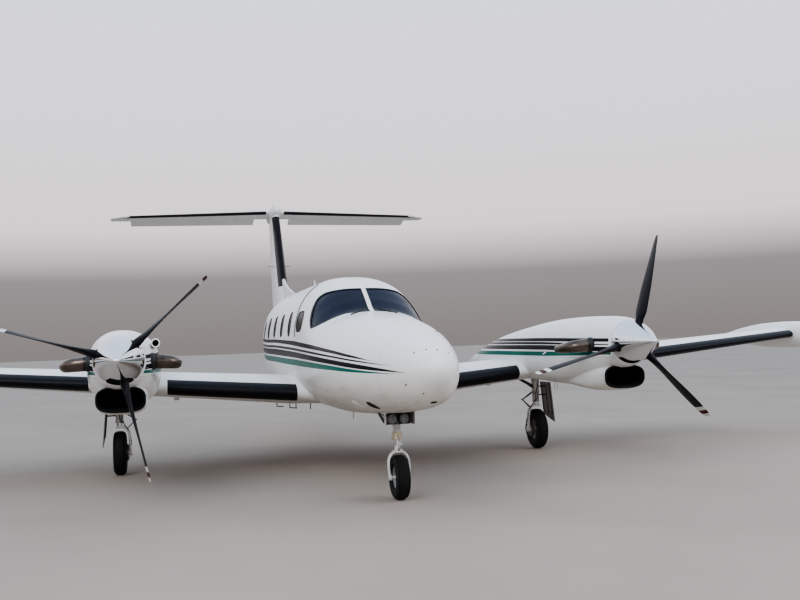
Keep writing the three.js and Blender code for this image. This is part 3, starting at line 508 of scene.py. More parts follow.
# Materials
class Nodes:
    """Builds a material's nodes with few words."""

    def __init__(self, name):
        self.mat = bpy.data.materials.new(name)
        self.mat.use_nodes = True
        self.t = self.mat.node_tree
        self.shader = self.t.nodes["Principled BSDF"]
        self.obj = None

    def set(self, node, **values):
        for k, v in values.items():
            self.feed(node.inputs[k.replace("_", " ")], v)

    def feed(self, socket, v):
        if isinstance(v, bpy.types.NodeSocket):
            self.t.links.new(v, socket)
        elif isinstance(v, (tuple, list)) and len(v) == 3 and socket.type == "RGBA":
            socket.default_value = (*v, 1)
        else:
            socket.default_value = v

    def add(self, kind, out=0, props=None, **values):
        n = self.t.nodes.new(kind)
        for k, v in (props or {}).items():
            setattr(n, k, v)
        for k, v in values.items():
            key = int(k[1:]) if k[0] == "i" and k[1:].isdigit() else k.replace("_", " ")
            self.feed(n.inputs[key], v)
        return n.outputs[out]

    def math(self, op, a, b=0.0, c=0.0):
        return self.add("ShaderNodeMath", props={"operation": op}, i0=a, i1=b, i2=c)

    def mul(self, a, b):
        return self.math("MULTIPLY", a, b)

    def near(self, v, place, half):
        """1 within half of a place, 0 outside."""
        return self.math("LESS_THAN", self.math("ABSOLUTE", self.math("SUBTRACT", v, place)), half)

    def coords(self):
        if self.obj is None:
            self.obj = self.add("ShaderNodeTexCoord", out=3)
            n = self.t.nodes.new("ShaderNodeSeparateXYZ")
            self.feed(n.inputs[0], self.obj)
            self.x, self.y, self.z = n.outputs
        return self.obj

    def noise(self, scale, detail=3.0, rough=0.5, stretch=None):
        v = self.coords()
        if stretch:
            v = self.add("ShaderNodeVectorMath", props={"operation": "MULTIPLY"}, i0=v, i1=stretch)
        return self.add("ShaderNodeTexNoise", Vector=v, Scale=scale, Detail=detail, Roughness=rough)

    def ramp(self, fac, a, b, lo=0.0, hi=1.0):
        """fac from a to b becomes lo to hi, clamped."""
        return self.add("ShaderNodeMapRange", i0=fac, i1=a, i2=b, i3=lo, i4=hi)

    def mix(self, fac, a, b):
        n = self.t.nodes.new("ShaderNodeMix")
        n.data_type = "RGBA"
        self.feed(n.inputs[0], fac)
        self.feed(n.inputs[6], a)
        self.feed(n.inputs[7], b)
        return n.outputs[2]

    def curve(self, x, points, x_range, z_range):
        """A height read from a curve of (y, z) points."""
        n = self.t.nodes.new("ShaderNodeFloatCurve")
        (a, b), (c, d) = x_range, z_range
        cm = n.mapping
        cm.use_clip = True
        pts = cm.curves[0].points
        xy = [((p - a) / (b - a), (q - c) / (d - c)) for p, q in points]
        while len(pts) < len(xy):
            pts.new(0.5, 0.5)
        for p, (u, v) in zip(pts, xy):
            p.location = (u, v)
            p.handle_type = "AUTO_CLAMPED"
        cm.update()
        self.feed(n.inputs["Value"], self.ramp(x, a, b))
        return self.math("MULTIPLY_ADD", n.outputs[0], d - c, c)

    def between(self, v, lo, hi, soft=0.0008):
        up = self.ramp(self.math("SUBTRACT", v, lo), -soft, soft)
        down = self.ramp(self.math("SUBTRACT", hi, v), -soft, soft)
        return self.mul(up, down)

    def bump(self, height, strength=0.2, distance=0.001):
        self.set(self.shader, Normal=self.add(
            "ShaderNodeBump", Strength=strength, Distance=distance, Height=height))


WHITE = (0.80, 0.80, 0.785)
BLACK = (0.012, 0.012, 0.014)
GREEN = (0.012, 0.13, 0.10)


def gloss(m, colour, rough=0.22, grain=(2.2, 2), depth=0.05):
    """Smooth paint with little mirror, over a skin that isn't quite flat."""
    m.set(m.shader, Base_Color=colour, Roughness=rough, IOR=1.10)
    m.bump(m.noise(*grain), depth, 0.004)
    return m.mat


def weathered_white_with_painted_reflection(m, belly):
    """White paint with slight tone changes, streaks of grime low down, and a painted reflection of the
    ground that makes it darker and warmer from the first height of belly to the second.
    """
    tone = m.ramp(m.noise(0.8, 4), 0.35, 0.7)
    c = m.mix(m.mul(tone, 0.35), WHITE, (0.80, 0.79, 0.77))
    streak = m.ramp(m.noise(5.0, 6, 0.65, (1, 0.12, 1)), 0.52, 0.8)
    low = m.ramp(m.z, *belly)
    dirt = m.mul(m.mul(streak, low), 0.5)
    # Painted reflection of the ground: a darker, warmer colour that grows towards the bottom.
    c = m.mix(m.mul(low, 0.6), c, (0.64, 0.59, 0.51))
    return m.mix(dirt, c, (0.30, 0.27, 0.23))


def seams(m, c, planes, half=0.0013, strength=0.65, tone=0.10):
    """Thin panel joints; planes pairs an axis of the piece with its places along it."""
    joints, *lines = [m.near(axis, v, half) for axis, places in planes for v in places]
    for line in lines:
        joints = m.math("MAXIMUM", joints, line)
    return m.mix(m.mul(joints, strength), c, (tone, tone, tone))


Y = lambda y: y / 1000 + AXLE_Y
FUSELAGE_JOINTS = (-900, -96, 900, 1745, 3360, 4220, 5060, 7400, 8900)

# Side stripes of the fuselage: colour, then top edge and bottom edge as (y, z) in metres, y aft of the axle
STRIPES = [
    (BLACK, [(-1.02, 1.403), (-0.81, 1.419), (-0.32, 1.476), (0.27, 1.531), (1.82, 1.622), (3.88, 1.673),
             (7.0, 1.73), (9.0, 1.86), (10.2, 2.02)],
     [(-1.02, 1.403), (-0.33, 1.453), (0.24, 1.497), (1.82, 1.567), (3.88, 1.623), (7.0, 1.68), (9.0, 1.83),
      (10.2, 2.02)]),
    (BLACK, [(-1.16, 1.376), (-0.5, 1.424), (0.22, 1.473), (1.82, 1.540), (3.88, 1.588), (7.0, 1.645),
             (9.0, 1.80), (10.3, 2.005)],
     [(-1.16, 1.376), (-0.5, 1.410), (0.22, 1.454), (1.82, 1.512), (3.88, 1.555), (7.0, 1.612),
      (9.0, 1.775), (10.3, 2.005)]),
    (BLACK, [(-1.40, 1.316), (-0.58, 1.383), (0.206, 1.432), (1.82, 1.494), (3.9, 1.538), (7.0, 1.595),
             (9.0, 1.76), (10.4, 1.99)],
     [(-1.40, 1.316), (-0.586, 1.343), (0.2, 1.385), (1.82, 1.428), (3.9, 1.453), (7.0, 1.51), (9.0, 1.70),
      (10.4, 1.99)]),
    (GREEN, [(-1.22, 1.306), (-0.586, 1.331), (0.2, 1.370), (1.82, 1.408), (3.94, 1.430), (7.0, 1.487),
             (9.0, 1.68), (10.4, 1.97)],
     [(-1.22, 1.306), (-0.585, 1.309), (0.2, 1.324), (1.93, 1.337), (4.0, 1.351), (7.0, 1.41), (9.0, 1.63),
      (10.4, 1.97)]),
]


def striped(m, c, stripes, y_range, z_range):
    for colour, top, bottom in stripes:
        hi, lo = (m.curve(m.y, [(p + AXLE_Y, q) for p, q in edge], y_range, z_range)
                  for edge in (top, bottom))
        live = m.between(m.y, top[0][0] + AXLE_Y, top[-1][0] + AXLE_Y)
        c = m.mix(m.mul(m.between(m.z, lo, hi), live), c, colour)
    return c


def fuselage_paint():
    m = Nodes("fuselage_paint")
    c = weathered_white_with_painted_reflection(m, (1.55, 1.0))
    c = striped(m, c, STRIPES, (-1.7 + AXLE_Y, 11.4 + AXLE_Y), (0.7, 2.5))
    return gloss(m, seams(m, c, [(m.y, [Y(v) for v in FUSELAGE_JOINTS])]))


def plain(name, colour, rough=0.5, metallic=0.0, coat=0.0, grain=60.0, vary=0.25, depth=0.1):
    """Even finish with tone, roughness and relief from noise."""
    m = Nodes(name)
    n = m.noise(grain, 5, 0.6)
    dark = tuple(v * (1 - vary) for v in colour)
    m.set(m.shader, Base_Color=m.mix(m.ramp(n, 0.3, 0.75), colour, dark), Metallic=metallic,
          Roughness=m.ramp(n, 0.2, 0.8, rough * 0.85, min(1, rough * 1.2)), Coat_Weight=coat)
    m.bump(n, depth, 0.0006)
    return m.mat


def tinted(name, colour, alpha, ior):
    """Dark glass that the inside shows through where alpha is low."""
    m = Nodes(name)
    haze = m.ramp(m.noise(3.0, 3), 0.4, 0.8)
    m.set(m.shader, Base_Color=m.mix(haze, colour, tuple(v * 1.6 for v in colour)), Roughness=0.03,
          Alpha=alpha, IOR=ior)
    return m.mat


PAINT = fuselage_paint()
TRIM = plain("cabin_trim", (0.62, 0.58, 0.50), 0.7)
# Dark grey for the inner faces of cut pieces: painted shade in the gaps and hollows behind panels.
INNER_SHADE = plain("painted_inner_shade", (0.10, 0.10, 0.10), 0.6)
RUBBER = plain("seal_rubber", (0.012, 0.012, 0.013), 0.55, grain=120)
GLASS = tinted("cockpit_glass", (0.004, 0.008, 0.026), 0.66, 1.34)
CABIN_GLASS = tinted("cabin_glass", (0.008, 0.008, 0.007), 0.92, 1.07)
BARE = plain("bare_metal", (0.55, 0.55, 0.54), 0.3, 0.9)
# Near-black painted shade for hollows: inner faces of the nose section and nacelles, the vents and the air
# inlets' depth. The nose's fastener dots share it.
DARK_AND_SHADE = plain("dark_and_painted_shade", (0.01, 0.01, 0.01), 0.8)
PLAIN_WHITE = plain("white_gloss", (0.82, 0.82, 0.80), 0.25, coat=0.2, grain=6, vary=0.05, depth=0.02)

# Fuselage: y, half width, top, bottom, widest height, powers above and below
FUSELAGE = [
    (-1603, 0, 1316, 1314, 1315, 2.0, 2.0), (-1600, 30, 1345, 1285, 1313, 2.0, 2.0),
    (-1530, 142, 1435, 1160, 1310, 2.0, 2.0),
    (-1400, 230, 1522, 1058, 1310, 2.05, 2.1), (-1100, 332, 1620, 985, 1312, 2.1, 2.15),
    (-600, 480, 1722, 925, 1310, 2.15, 2.25), (0, 615, 1818, 868, 1335, 2.2, 2.4),
    (600, 684, 1895, 828, 1375, 2.3, 2.5), (1070, 710, 1955, 808, 1420, 2.4, 2.6),
    (1330, 716, 2110, 803, 1450, 2.5, 2.6), (1570, 720, 2255, 800, 1480, 2.6, 2.6),
    (1900, 725, 2368, 795, 1520, 2.6, 2.6), (2400, 725, 2420, 790, 1540, 2.55, 2.6),
    (5500, 725, 2430, 790, 1540, 2.5, 2.6), (6500, 690, 2420, 860, 1600, 2.4, 2.5),
    (8000, 530, 2400, 1150, 1750, 2.2, 2.3), (9500, 340, 2360, 1560, 1950, 2.1, 2.1),
    (11000, 150, 2300, 1960, 2130, 2.0, 2.0), (11250, 50, 2240, 2050, 2140, 2.0, 2.0),
]
TIP, CONE_BACK, CABIN_FRONT, CABIN_BACK, TAIL_END = FUSELAGE[0][0], -900, 900, 7400, FUSELAGE[-1][0]
hull = Hull(FUSELAGE, round_front=True)
SKIN = Ref(hull.rings(TIP, TAIL_END, 40, 112), caps=True)


def hull_part(y0, y1, grow=0.0, step=55, sides=112):
    return loft_object(hull.rings(y0, y1, step, sides, grow))


# Windows: y, half width, bottom, top, sides
WINDOWS = [
    (2012, 250, 1745, 2000, "lr"), (2930, 150, 1705, 2025, "lr"), (3790, 150, 1705, 2025, "lr"),
    (4650, 150, 1705, 2025, "lr"), (5480, 150, 1705, 2025, "lr"), (6340, 140, 1705, 2005, "r"),
]
DOOR = dict(y0=5800, y1=6480, low=1075, split=1560, high=2190)
DOOR_WINDOW = (6140, 140, 1740, 2030)
SIDES = {"l": (300, 900), "r": (-900, -300)}


def window_outline(row, grow=0.0):
    y, half, z0, z1 = row[:4]
    r = 118 if half < 200 else 130
    return round_rect(y - half - grow, y + half + grow, z0 - grow, z1 + grow, r + grow)


SHARP, SCREEN_CORNER = 40, 9


def screen_outline(grow=0.0):
    """Half windscreen from the front, x and z, port side."""
    upper = smooth_path([(25, 2236), (170, 2234), (320, 2220), (430, 2196), (520, 2138), (585, 2045),
                         (632, 1940), (660, 1835), (668, 1768)], 40)
    lower = smooth_path([(668, 1768), (560, 1822), (420, 1886), (270, 1928), (25, 1942)], 24)
    p = [Vector(q) for q in (*upper, *lower[1:])]
    out = []
    for i, c in enumerate(p):
        a, b = p[i - 1], p[(i + 1) % len(p)]
        bend = (c - a).angle(b - c) if (c - a).length > 0 and (b - c).length > 0 else 0
        sharp = bend > math.radians(SHARP)
        out += corner(a, c, b, SCREEN_CORNER, SCREEN_CORNER) if sharp else [tuple(c)]
    return offset(out, grow) if grow else out


SCREEN_DEPTH = (900, 1735)
DOOR_GAP, DOOR_SKIN, JOINT = 8, 30, 0.3
BAGGAGE = dict(half=370, low=1370, high=1688, door_top=1675, turn=-17.4, place=(0.424, -0.060, 0))
STEPS, STEP_THICK = (1180, 1390), 22
# The skin bulges past the straight hinge, so the lower edge stands high enough to clear the sill when open.
SILL_GAP, SPLIT_GAP = 19, 4
PANE_DEPTH = 4


def skinned(ob, name, inside, body="airframe"):
    """A piece of the hull, painted outside, that stands for the solid of that name."""
    return finish(shade(ob, [SKIN], [PAINT, inside]), name + "_skin", body, name)


def fuselage():
    # The nose cone, baggage door and tail cone get dark grey painted shade on their inner faces.
    skinned(hull_part(TIP, CONE_BACK), "nose_cone", INNER_SHADE)
    bay = common(hull_part(-700, 850, -DOOR_SKIN), box(-900, 900, -640, 800, 1240, 2500))
    wheel_well = box(-150, 150, -130, 860, 500, 1150)
    section = cut(hull_part(CONE_BACK + JOINT, CABIN_FRONT - JOINT), wheel_well, bay, baggage_hole(0))
    # The nose section's wheel well, bay and hole walls get near-black painted shade.
    skinned(section, "nose_section", DARK_AND_SHADE)
    door = common(cut(hull_part(-700, 600), hull_part(-750, 650, -DOOR_SKIN)), baggage_hole(-DOOR_GAP))
    door = common(door, box(-900, 900, -900, 900, 1000, BAGGAGE["door_top"]))
    skinned(door, "nose_baggage_door", INNER_SHADE, "nose_baggage_door")

    shell = cut(hull_part(CABIN_FRONT + JOINT, CABIN_BACK - JOINT),
                hull_part(CABIN_FRONT + WALL, CABIN_BACK - WALL, -WALL, step=90))
    shell = cut(shell, *[prism(window_outline(row), "x", *SIDES[s]) for row in WINDOWS for s in row[4]])
    shell = cut(shell, *[prism([(s * x, z) for x, z in screen_outline()], "y", *SCREEN_DEPTH)
                         for s in (1, -1)])
    skinned(cut(shell, door_hole(0)), "cabin_shell", TRIM)
    tail = cut(hull_part(CABIN_BACK + JOINT, TAIL_END), hull_part(CABIN_BACK - 50, 10900, -16, step=120))
    stand_pad = box(-30, 30, 9255, 9345, 1445, 1540)
    skinned(join(tail, stand_pad), "tail_cone", INNER_SHADE)


def baggage_hole(grow):
    half, low, high = (BAGGAGE[k] for k in ("half", "low", "high"))
    ob = prism(round_rect(-half - grow, half + grow, low - grow, high + grow, 60 + grow), "x", -170, 500)
    turned = Matrix.Rotation(math.radians(BAGGAGE["turn"]), 4, "Z")
    return settle(ob, Matrix.Translation(BAGGAGE["place"]) @ turned)


def door_hole(grow):
    y0, y1, z0, z1 = (DOOR[k] for k in ("y0", "y1", "low", "high"))
    return prism(round_rect(y0 - grow, y1 + grow, z0 - grow, z1 + grow, 90 + grow), "x", *SIDES["l"])


def cabin_door():
    skin = cut(hull_part(5700, 6600), hull_part(5650, 6650, -WALL))
    skin = common(skin, door_hole(-DOOR_GAP))
    upper = common(copy(skin), box(0, 900, 5000, 7000, DOOR["split"] + SPLIT_GAP, 2500))
    upper = cut(upper, prism(window_outline(DOOR_WINDOW), "x", *SIDES["l"]))
    skinned(upper, "cabin_door_upper", TRIM, "cabin_door_upper")
    lower = common(skin, box(0, 900, 5000, 7000, DOOR["low"] + SILL_GAP, DOOR["split"] - SPLIT_GAP))
    skinned(lower, "cabin_door_lower", TRIM, "cabin_door_lower")
    for z in STEPS:
        outline = [(500, z), (672, z), (672, z + STEP_THICK), (500, z + STEP_THICK)]
        tread = bar(outline, 8, 4, "y", DOOR["y0"] + 90, DOOR["y1"] - 90)
        step = common(tread, hull_part(5700, 6600, -DOOR_SKIN))
        part(step, f"airstair_step_{z}", BARE, "cabin_door_lower")


def hull_layer(y0, y1, outer, inner, step):
    """The hull between two offsets from its skin."""
    return cut(hull_part(y0, y1, outer, step), hull_part(y0 - 20, y1 + 20, inner, step))


def pane(row, side, name, body="airframe", replaces=()):
    """Cabin glass a little behind the skin and the rubber seal round it."""
    y, half = row[:2]
    near, far = y - half - 60, y + half + 60
    glass = common(hull_layer(near, far, -PANE_DEPTH, -PANE_DEPTH - 9, 30),
                   prism(window_outline(row, -1.5), "x", *SIDES[side]))
    x0, x1 = SIDES[side]
    ring = cut(prism(window_outline(row, -0.8), "x", x0, x1),
               prism(window_outline(row, -9), "x", x0 - 50, x1 + 50))
    seal = common(hull_layer(near, far, 1.6, -PANE_DEPTH - 2, 30), ring)
    part(glass, name, CABIN_GLASS, body, replaces, 60)
    part(seal, name + "_seal", RUBBER, body=body)


def glazing():
    for side in "lr":
        for i, row in enumerate(r for r in WINDOWS if side in r[4]):
            kind = "cockpit_side_pane" if i == 0 else f"cabin_pane_{i}"
            pane(row, side, f"{kind}_{side}", replaces=() if i else f"cabin_glazing_{side}")
    pane(DOOR_WINDOW, "l", "door_pane", "cabin_door_upper", "cabin_door_glazing")
    glass, rubber = hull_layer(860, 1800, -6, -16, 25), hull_layer(860, 1800, 2.2, -12, 25)
    for side, s in (("l", 1), ("r", -1)):
        screen = lambda grow, depth=SCREEN_DEPTH: prism([(s * x, z) for x, z in screen_outline(grow)],
                                                        "y", *depth)
        part(common(copy(glass), screen(-1)), f"windscreen_pane_{side}", GLASS,
             replaces=f"windscreen_{side}", angle=60)
        ring = cut(screen(-0.8), screen(-10, (880, 1760)))
        part(common(copy(rubber), ring), f"windscreen_seal_{side}", RUBBER)
    drop(glass, rubber)


fuselage()
cabin_door()
glazing()

# Wings: x, leading edge y, height, chord, thickness as a share of it, incidence in degrees
WING = [
    (450, 1790, 985, 3170, 0.10, 1.5), (730, 2250, 1001, 2680, 0.137, 1.5),
    (2255, 2440, 1124, 2250, 0.136, 1.2), (3250, 2574, 1204, 2025, 0.138, 0.9),
    (6930, 3071, 1501, 1200, 0.12, -0.8),
]
CAMBER, HINGE_AT = 0.02, 0.75
CONTROL_GAP, FLAP_GAP = 10, 16
PIN = dict(r=9, hole=10, root=30, reach=38)
# Moving surfaces: name, body, ends, and the stations that their hinge line runs through
WING_SURFACES = [
    ("flap_inner", "flaps", 840, 2270, 840, 4660), ("flap_outer", "flaps", 3140, 4660, 840, 4660),
    ("aileron", "aileron", 4712, 6800, 4712, 6800),
]


def half_thick(u, t):
    return 5 * t * (0.2969 * np.sqrt(u) - 0.126 * u - 0.3516 * u**2 + 0.2843 * u**3 - 0.1015 * u**4)


def aerofoil(t, camber, half=30):
    """Chord and height fractions from the trailing edge over the top and back below, open at the end."""
    a = np.pi * np.arange(2 * half + 1) / half
    u = 0.5 + 0.5 * np.cos(a)
    v = camber * 4 * u * (1 - u) + np.sign(half - np.arange(2 * half + 1)) * half_thick(u, t)
    v[half] = 0
    v[0], v[-1] = 0.0016, -0.0016
    return u, v


def wing_ring(row, camber, grow=0.0, half=30):
    x, lead, z, chord, t, incidence = (*row, 0)[:6]
    c, s = cos_sin(incidence)
    u, v = aerofoil(t, camber, half)
    dy, dz = u * chord + (2 * u - 1) * grow, v * chord + np.sign(v) * grow
    return np.stack([np.full_like(u, x), lead + dy * c + dz * s, z + dz * c - dy * s], 1)


def spread(rows, step, ease=1.0):
    """Rows at most step apart along the first column; ease bends the first interval."""
    out = []
    for i, (a, b) in enumerate(zip(rows, rows[1:])):
        a, b = np.array(a, float), np.array(b, float)
        n = max(1, int(math.ceil(abs(b[0] - a[0]) / step)))
        for k in range(n):
            row = a + (b - a) * k / n
            if i == 0 and ease != 1.0:
                row[1] = b[1] - (b[1] - a[1]) * (1 - k / n) ** ease
                row[3] = a[3] + a[1] - row[1] + (b[3] + b[1] - a[3] - a[1]) * k / n
            out.append(tuple(row))
    return out + [tuple(float(v) for v in rows[-1])]


def wing_at(x):
    return [np.interp(x, [r[0] for r in WING], [r[k] for r in WING]) for k in range(6)]


def hinge_end(x):
    _, lead, z, chord, _, incidence = wing_at(x)
    drop_z = HINGE_AT * chord * math.sin(math.radians(incidence))
    return np.array([x, lead + HINGE_AT * chord,
                     z - drop_z + CAMBER * 4 * HINGE_AT * (1 - HINGE_AT) * chord])


def swung(body, p0, p1, r0, r1, region, gap=CONTROL_GAP):
    """The moving piece on its hinge line, the room it needs in its carrier, and its pins."""
    nose = lambda grow: rod(p0, p1, r0 + grow, r1 + grow, 48)
    inwards = (Vector(p1) - Vector(p0)).normalized()

    def pins(r, extra):
        ends = [(Vector(p0), inwards), (Vector(p1), -inwards)]
        a, b = [rod(e - d * PIN["root"], e + d * (PIN["reach"] + extra), r, r, 20) for e, d in ends]
        return join(a, b)

    inside = common(join(region(-CONTROL_GAP), nose(0)), region(-CONTROL_GAP, True))
    moving = cut(common(copy(body), inside), pins(PIN["hole"], 1))
    room = common(join(region(0), nose(gap)), region(0, True))
    return moving, room, pins(PIN["r"], 0)


def wing_surface(row, body):
    _, _, x0, x1, line0, line1 = row
    a, b = hinge_end(line0), hinge_end(line1)
    on = lambda x: a + (x - a[0]) / (b[0] - a[0]) * (b - a)

    def nose_at(x):
        _, lead, _, chord, t, _ = wing_at(x)
        return 6 + chord * half_thick((on(x)[1] - lead) / chord, t)

    def region(grow, wide=False):
        back = 400 if wide else 0
        return prism([(x0 - grow, on(x0)[1] - back), (x1 + grow, on(x1)[1] - back), (x1 + grow, 6200),
                      (x0 - grow, 6200)], "z", 500, 2000)
    gap = FLAP_GAP if line0 < 1000 else CONTROL_GAP
    return swung(body, on(x0 - 5), on(x1 + 5), nose_at(x0), nose_at(x1), region, gap)


def leg_slot():
    """Room for the main leg in wing and nacelle."""
    x = TRACK_X * 1000
    return box(x - LEG_SLOT, x + LEG_SLOT, BASE_Y - LEG_SLOT, BASE_Y + LEG_SLOT, 700, 1150 + JOINT)


RIBS = (0.78, 1.55, 2.30, 3.12, 4.68, 5.75, 6.86)
LEG_SLOT = 78
# Tip tank: y and radius
TANK_X, TANK_Z = 7065, 1492
TANK = [(2140, 0), (2150, 12), (2280, 75), (2560, 148), (3000, 192), (3500, 200), (4000, 188), (4500, 142),
        (4950, 72), (5200, 14), (5205, 0)]


def wing_paint():
    m = Nodes("wing_paint")
    c = weathered_white_with_painted_reflection(m, (1.25, 0.95))
    ribs = [(m.math("ABSOLUTE", m.x), RIBS)]
    return gloss(m, seams(m, c, ribs, 0.0012, 0.6, 0.12), 0.28, (3.0, 3), 0.06)


def boot_rubber():
    """Black de-icer rubber with inflation ribs along the span."""
    m = Nodes("boot_rubber")
    n = m.noise(40, 5, 0.6)
    m.set(m.shader, Base_Color=m.mix(m.ramp(n, 0.3, 0.8), (0.005, 0.005, 0.007), (0.013, 0.013, 0.017)),
          Roughness=m.ramp(n, 0.2, 0.8, 0.30, 0.42), IOR=1.22)
    wave = m.math("SINE", m.mul(m.z, 260.0))
    m.bump(m.math("ADD", m.mul(wave, 0.25), n), 0.25, 0.0012)
    return m.mat


WING_PAINT, BOOT = wing_paint(), boot_rubber()


def strip_ring(row, camber, reach, thick, lift=1.2, n=18):
    """Closed ring round the leading edge: outside and inside of a strip that reaches aft on both faces."""
    x, lead, z, chord, t, incidence = row
    c, s = cos_sin(incidence)
    q = np.linspace(-1, 1, 2 * n + 1)
    u = reach / chord * q**2
    v = camber * 4 * u * (1 - u) - np.sign(q) * half_thick(u, t)
    p = np.stack([u * chord, v * chord], 1)
    d = np.gradient(p, axis=0)
    d /= np.linalg.norm(d, axis=1, keepdims=True)
    out = np.stack([d[:, 1], -d[:, 0]], 1)
    if out[n][0] > 0:
        out = -out
    edge = np.minimum(1, (1 - np.abs(q)) * n / 1.5)[:, None]
    outer, inner = p + out * lift * edge, p - out * thick
    ring = np.vstack([outer, inner[::-1]])
    return np.stack([np.full(len(ring), x), lead + ring[:, 0] * c + ring[:, 1] * s,
                     z + ring[:, 1] * c - ring[:, 0] * s], 1)


def boot(rows, x0, x1, camber, reach=118, step=150):
    table = np.array([list(r) + [0] * (6 - len(r)) for r in rows], float)
    at_x = lambda x: [np.interp(x, table[:, 0], table[:, k]) for k in range(6)]
    xs = np.linspace(x0, x1, max(3, int(abs(x1 - x0) / step)))
    return loft_object([strip_ring(at_x(x), camber, reach, 1.0) for x in xs])


def wings():
    rows = spread(WING, 110, ease=1.35)
    rings = [wing_ring(r, CAMBER) for r in rows]
    ref = Ref(rings, wrap=False)
    whole = loft_object(rings)
    tank_hull = Hull([(y, r, TANK_Z + r, TANK_Z - r, TANK_Z) for y, r in TANK], TANK_X, True, True)
    tank_rings = tank_hull.rings(2140, 5205, 45, 64)
    tank_ref = Ref(tank_rings, caps=True)
    skin = copy(whole)
    moving = {}
    for row in WING_SURFACES:
        piece, room, pins = wing_surface(row, whole)
        moving[row[0]] = (piece, row[1])
        skin = join(cut(skin, room), pins)
    skin = join(skin, loft_object(tank_rings))
    pad = rod((2150, 3400, 925), (2150, 3400, 1075), 35, 35, 32)
    twins(pad, "wing_jack_pad", PLAIN_WHITE)
    skin = cut(skin, hull_part(CABIN_FRONT, 7000, JOINT, 60), leg_slot())
    # Faces off the skin, in the moving surfaces' rooms and the leg slot, get dark grey painted shade.
    shade(skin, [ref, tank_ref], [WING_PAINT, WING_PAINT, INNER_SHADE], inner=2)
    pair(skin, "wing_skin", BOTH, "wing")
    for name, (piece, body) in moving.items():
        shade(piece, [ref], [WING_PAINT, WING_PAINT], inner=1)
        pair(piece, name + "_skin", (body + "_port", body + "_starboard"), name)
    drop(whole)
    for label, x0, x1 in (("inner", 715, 2262), ("outer", 3180, 6905)):
        twins(boot(rows, x0, x1, CAMBER), f"wing_boot_{label}", BOOT, angle=50)


# Nacelles: columns as for the fuselage; then intakes and exhausts
NACELLE = [
    (145, 241, 1746, 1264, 1505, 2.0, 2.0), (180, 248, 1757, 1245, 1492, 2.0, 2.0),
    (290, 264, 1778, 1226, 1455, 2.1, 2.1), (700, 330, 1803, 1110, 1420, 2.2, 2.3),
    (1200, 375, 1812, 1030, 1400, 2.25, 2.5), (1650, 382, 1808, 985, 1390, 2.3, 2.6),
    (2200, 382, 1785, 1000, 1380, 2.3, 2.6), (2700, 372, 1747, 1010, 1370, 2.3, 2.5),
    (3960, 320, 1623, 1010, 1310, 2.2, 2.4), (5190, 180, 1408, 1080, 1230, 2.1, 2.2),
    (5950, 22, 1232, 1188, 1210, 2.0, 2.0),
]
PX, PZ = 1000 * PROP_X, 1000 * PROP_Z
COWL, BAY_END = 30, 2300
INTAKE = dict(half_w=216, half_h=100, z=1120, depth=860, lip=345)
# Intake fairing: y, half width, half height, middle height
SCOOP = [(345, 242, 130, 1114), (520, 254, 146, 1102), (760, 256, 150, 1096), (1050, 246, 138, 1094),
         (1350, 222, 116, 1090), (1700, 180, 86, 1088), (2050, 120, 50, 1085)]
# Exhaust stub: reach from the thrust line, distance aft, heading, half width, half height, middle height
STUB = [(241, 0, 90, 84, 76, 1479), (330, 0, 90, 84, 76, 1478), (420, 4, 82, 84, 73, 1472),
        (480, 26, 62, 84, 69, 1466), (515, 70, 38, 80, 66, 1460), (533, 130, 16, 72, 62, 1455),
        (541, 210, 5, 64, 57, 1448), (545, 290, 1, 56, 50, 1443), (548, 340, 0, 50, 45, 1440)]
EXHAUST_Y = 560
# Side stripes of the nacelles, as for the fuselage
NACELLE_STRIPES = [
    (BLACK, [(0.2, 1.548), (1.87, 1.574), (4.3, 1.580), (5.9, 1.560)],
     [(0.2, 1.510), (1.87, 1.531), (4.3, 1.540), (5.9, 1.530)]),
    (BLACK, [(0.2, 1.484), (1.87, 1.524), (4.3, 1.533), (5.9, 1.523)],
     [(0.2, 1.474), (1.87, 1.494), (4.3, 1.500), (5.9, 1.490)]),
    (BLACK, [(0.2, 1.453), (1.87, 1.486), (4.3, 1.490), (5.9, 1.480)],
     [(0.2, 1.403), (1.87, 1.427), (4.3, 1.432), (5.9, 1.425)]),
    (GREEN, [(0.2, 1.397), (1.87, 1.404), (4.3, 1.410), (5.9, 1.402)],
     [(0.2, 1.368), (1.87, 1.350), (4.3, 1.352), (5.9, 1.350)]),
]


def nacelle_paint():
    m = Nodes("nacelle_paint")
    c = weathered_white_with_painted_reflection(m, (1.3, 0.95))
    c = striped(m, c, NACELLE_STRIPES, (0.0 + AXLE_Y, 6.0 + AXLE_Y), (1.0, 1.9))
    soot = m.mul(m.between(m.y, Y(950), Y(3400), 0.45), m.between(m.z, 1.38, 1.52, 0.05))
    soot = m.mul(soot, m.ramp(m.noise(7, 5, 0.6, (1, 0.1, 1)), 0.45, 0.8))
    c = m.mix(m.mul(soot, 0.35), c, (0.10, 0.085, 0.07))
    return gloss(m, seams(m, c, [(m.y, [Y(v) for v in (760, 1480, 2300, 3600)]), (m.z, (1.335,))]))


def exhaust_metal():
    m = Nodes("exhaust_metal")
    n = m.noise(9, 5, 0.6)
    c = m.mix(m.ramp(n, 0.35, 0.7), (0.17, 0.135, 0.11), (0.07, 0.055, 0.046))
    side = m.math("ABSOLUTE", m.x)
    c = m.mix(m.mul(m.near(side, PROP_X, 0.36), 0.75), c, (0.03, 0.028, 0.028))
    m.set(m.shader, Base_Color=c, Metallic=0.95, Roughness=m.ramp(n, 0.3, 0.8, 0.16, 0.34))
    m.bump(n, 0.08, 0.001)
    return m.mat


NACELLE_PAINT, EXHAUST_METAL = nacelle_paint(), exhaust_metal()
CHROME = plain("chrome_plate", (0.78, 0.79, 0.80), 0.045, 1.0, grain=3, vary=0.04, depth=0.0)


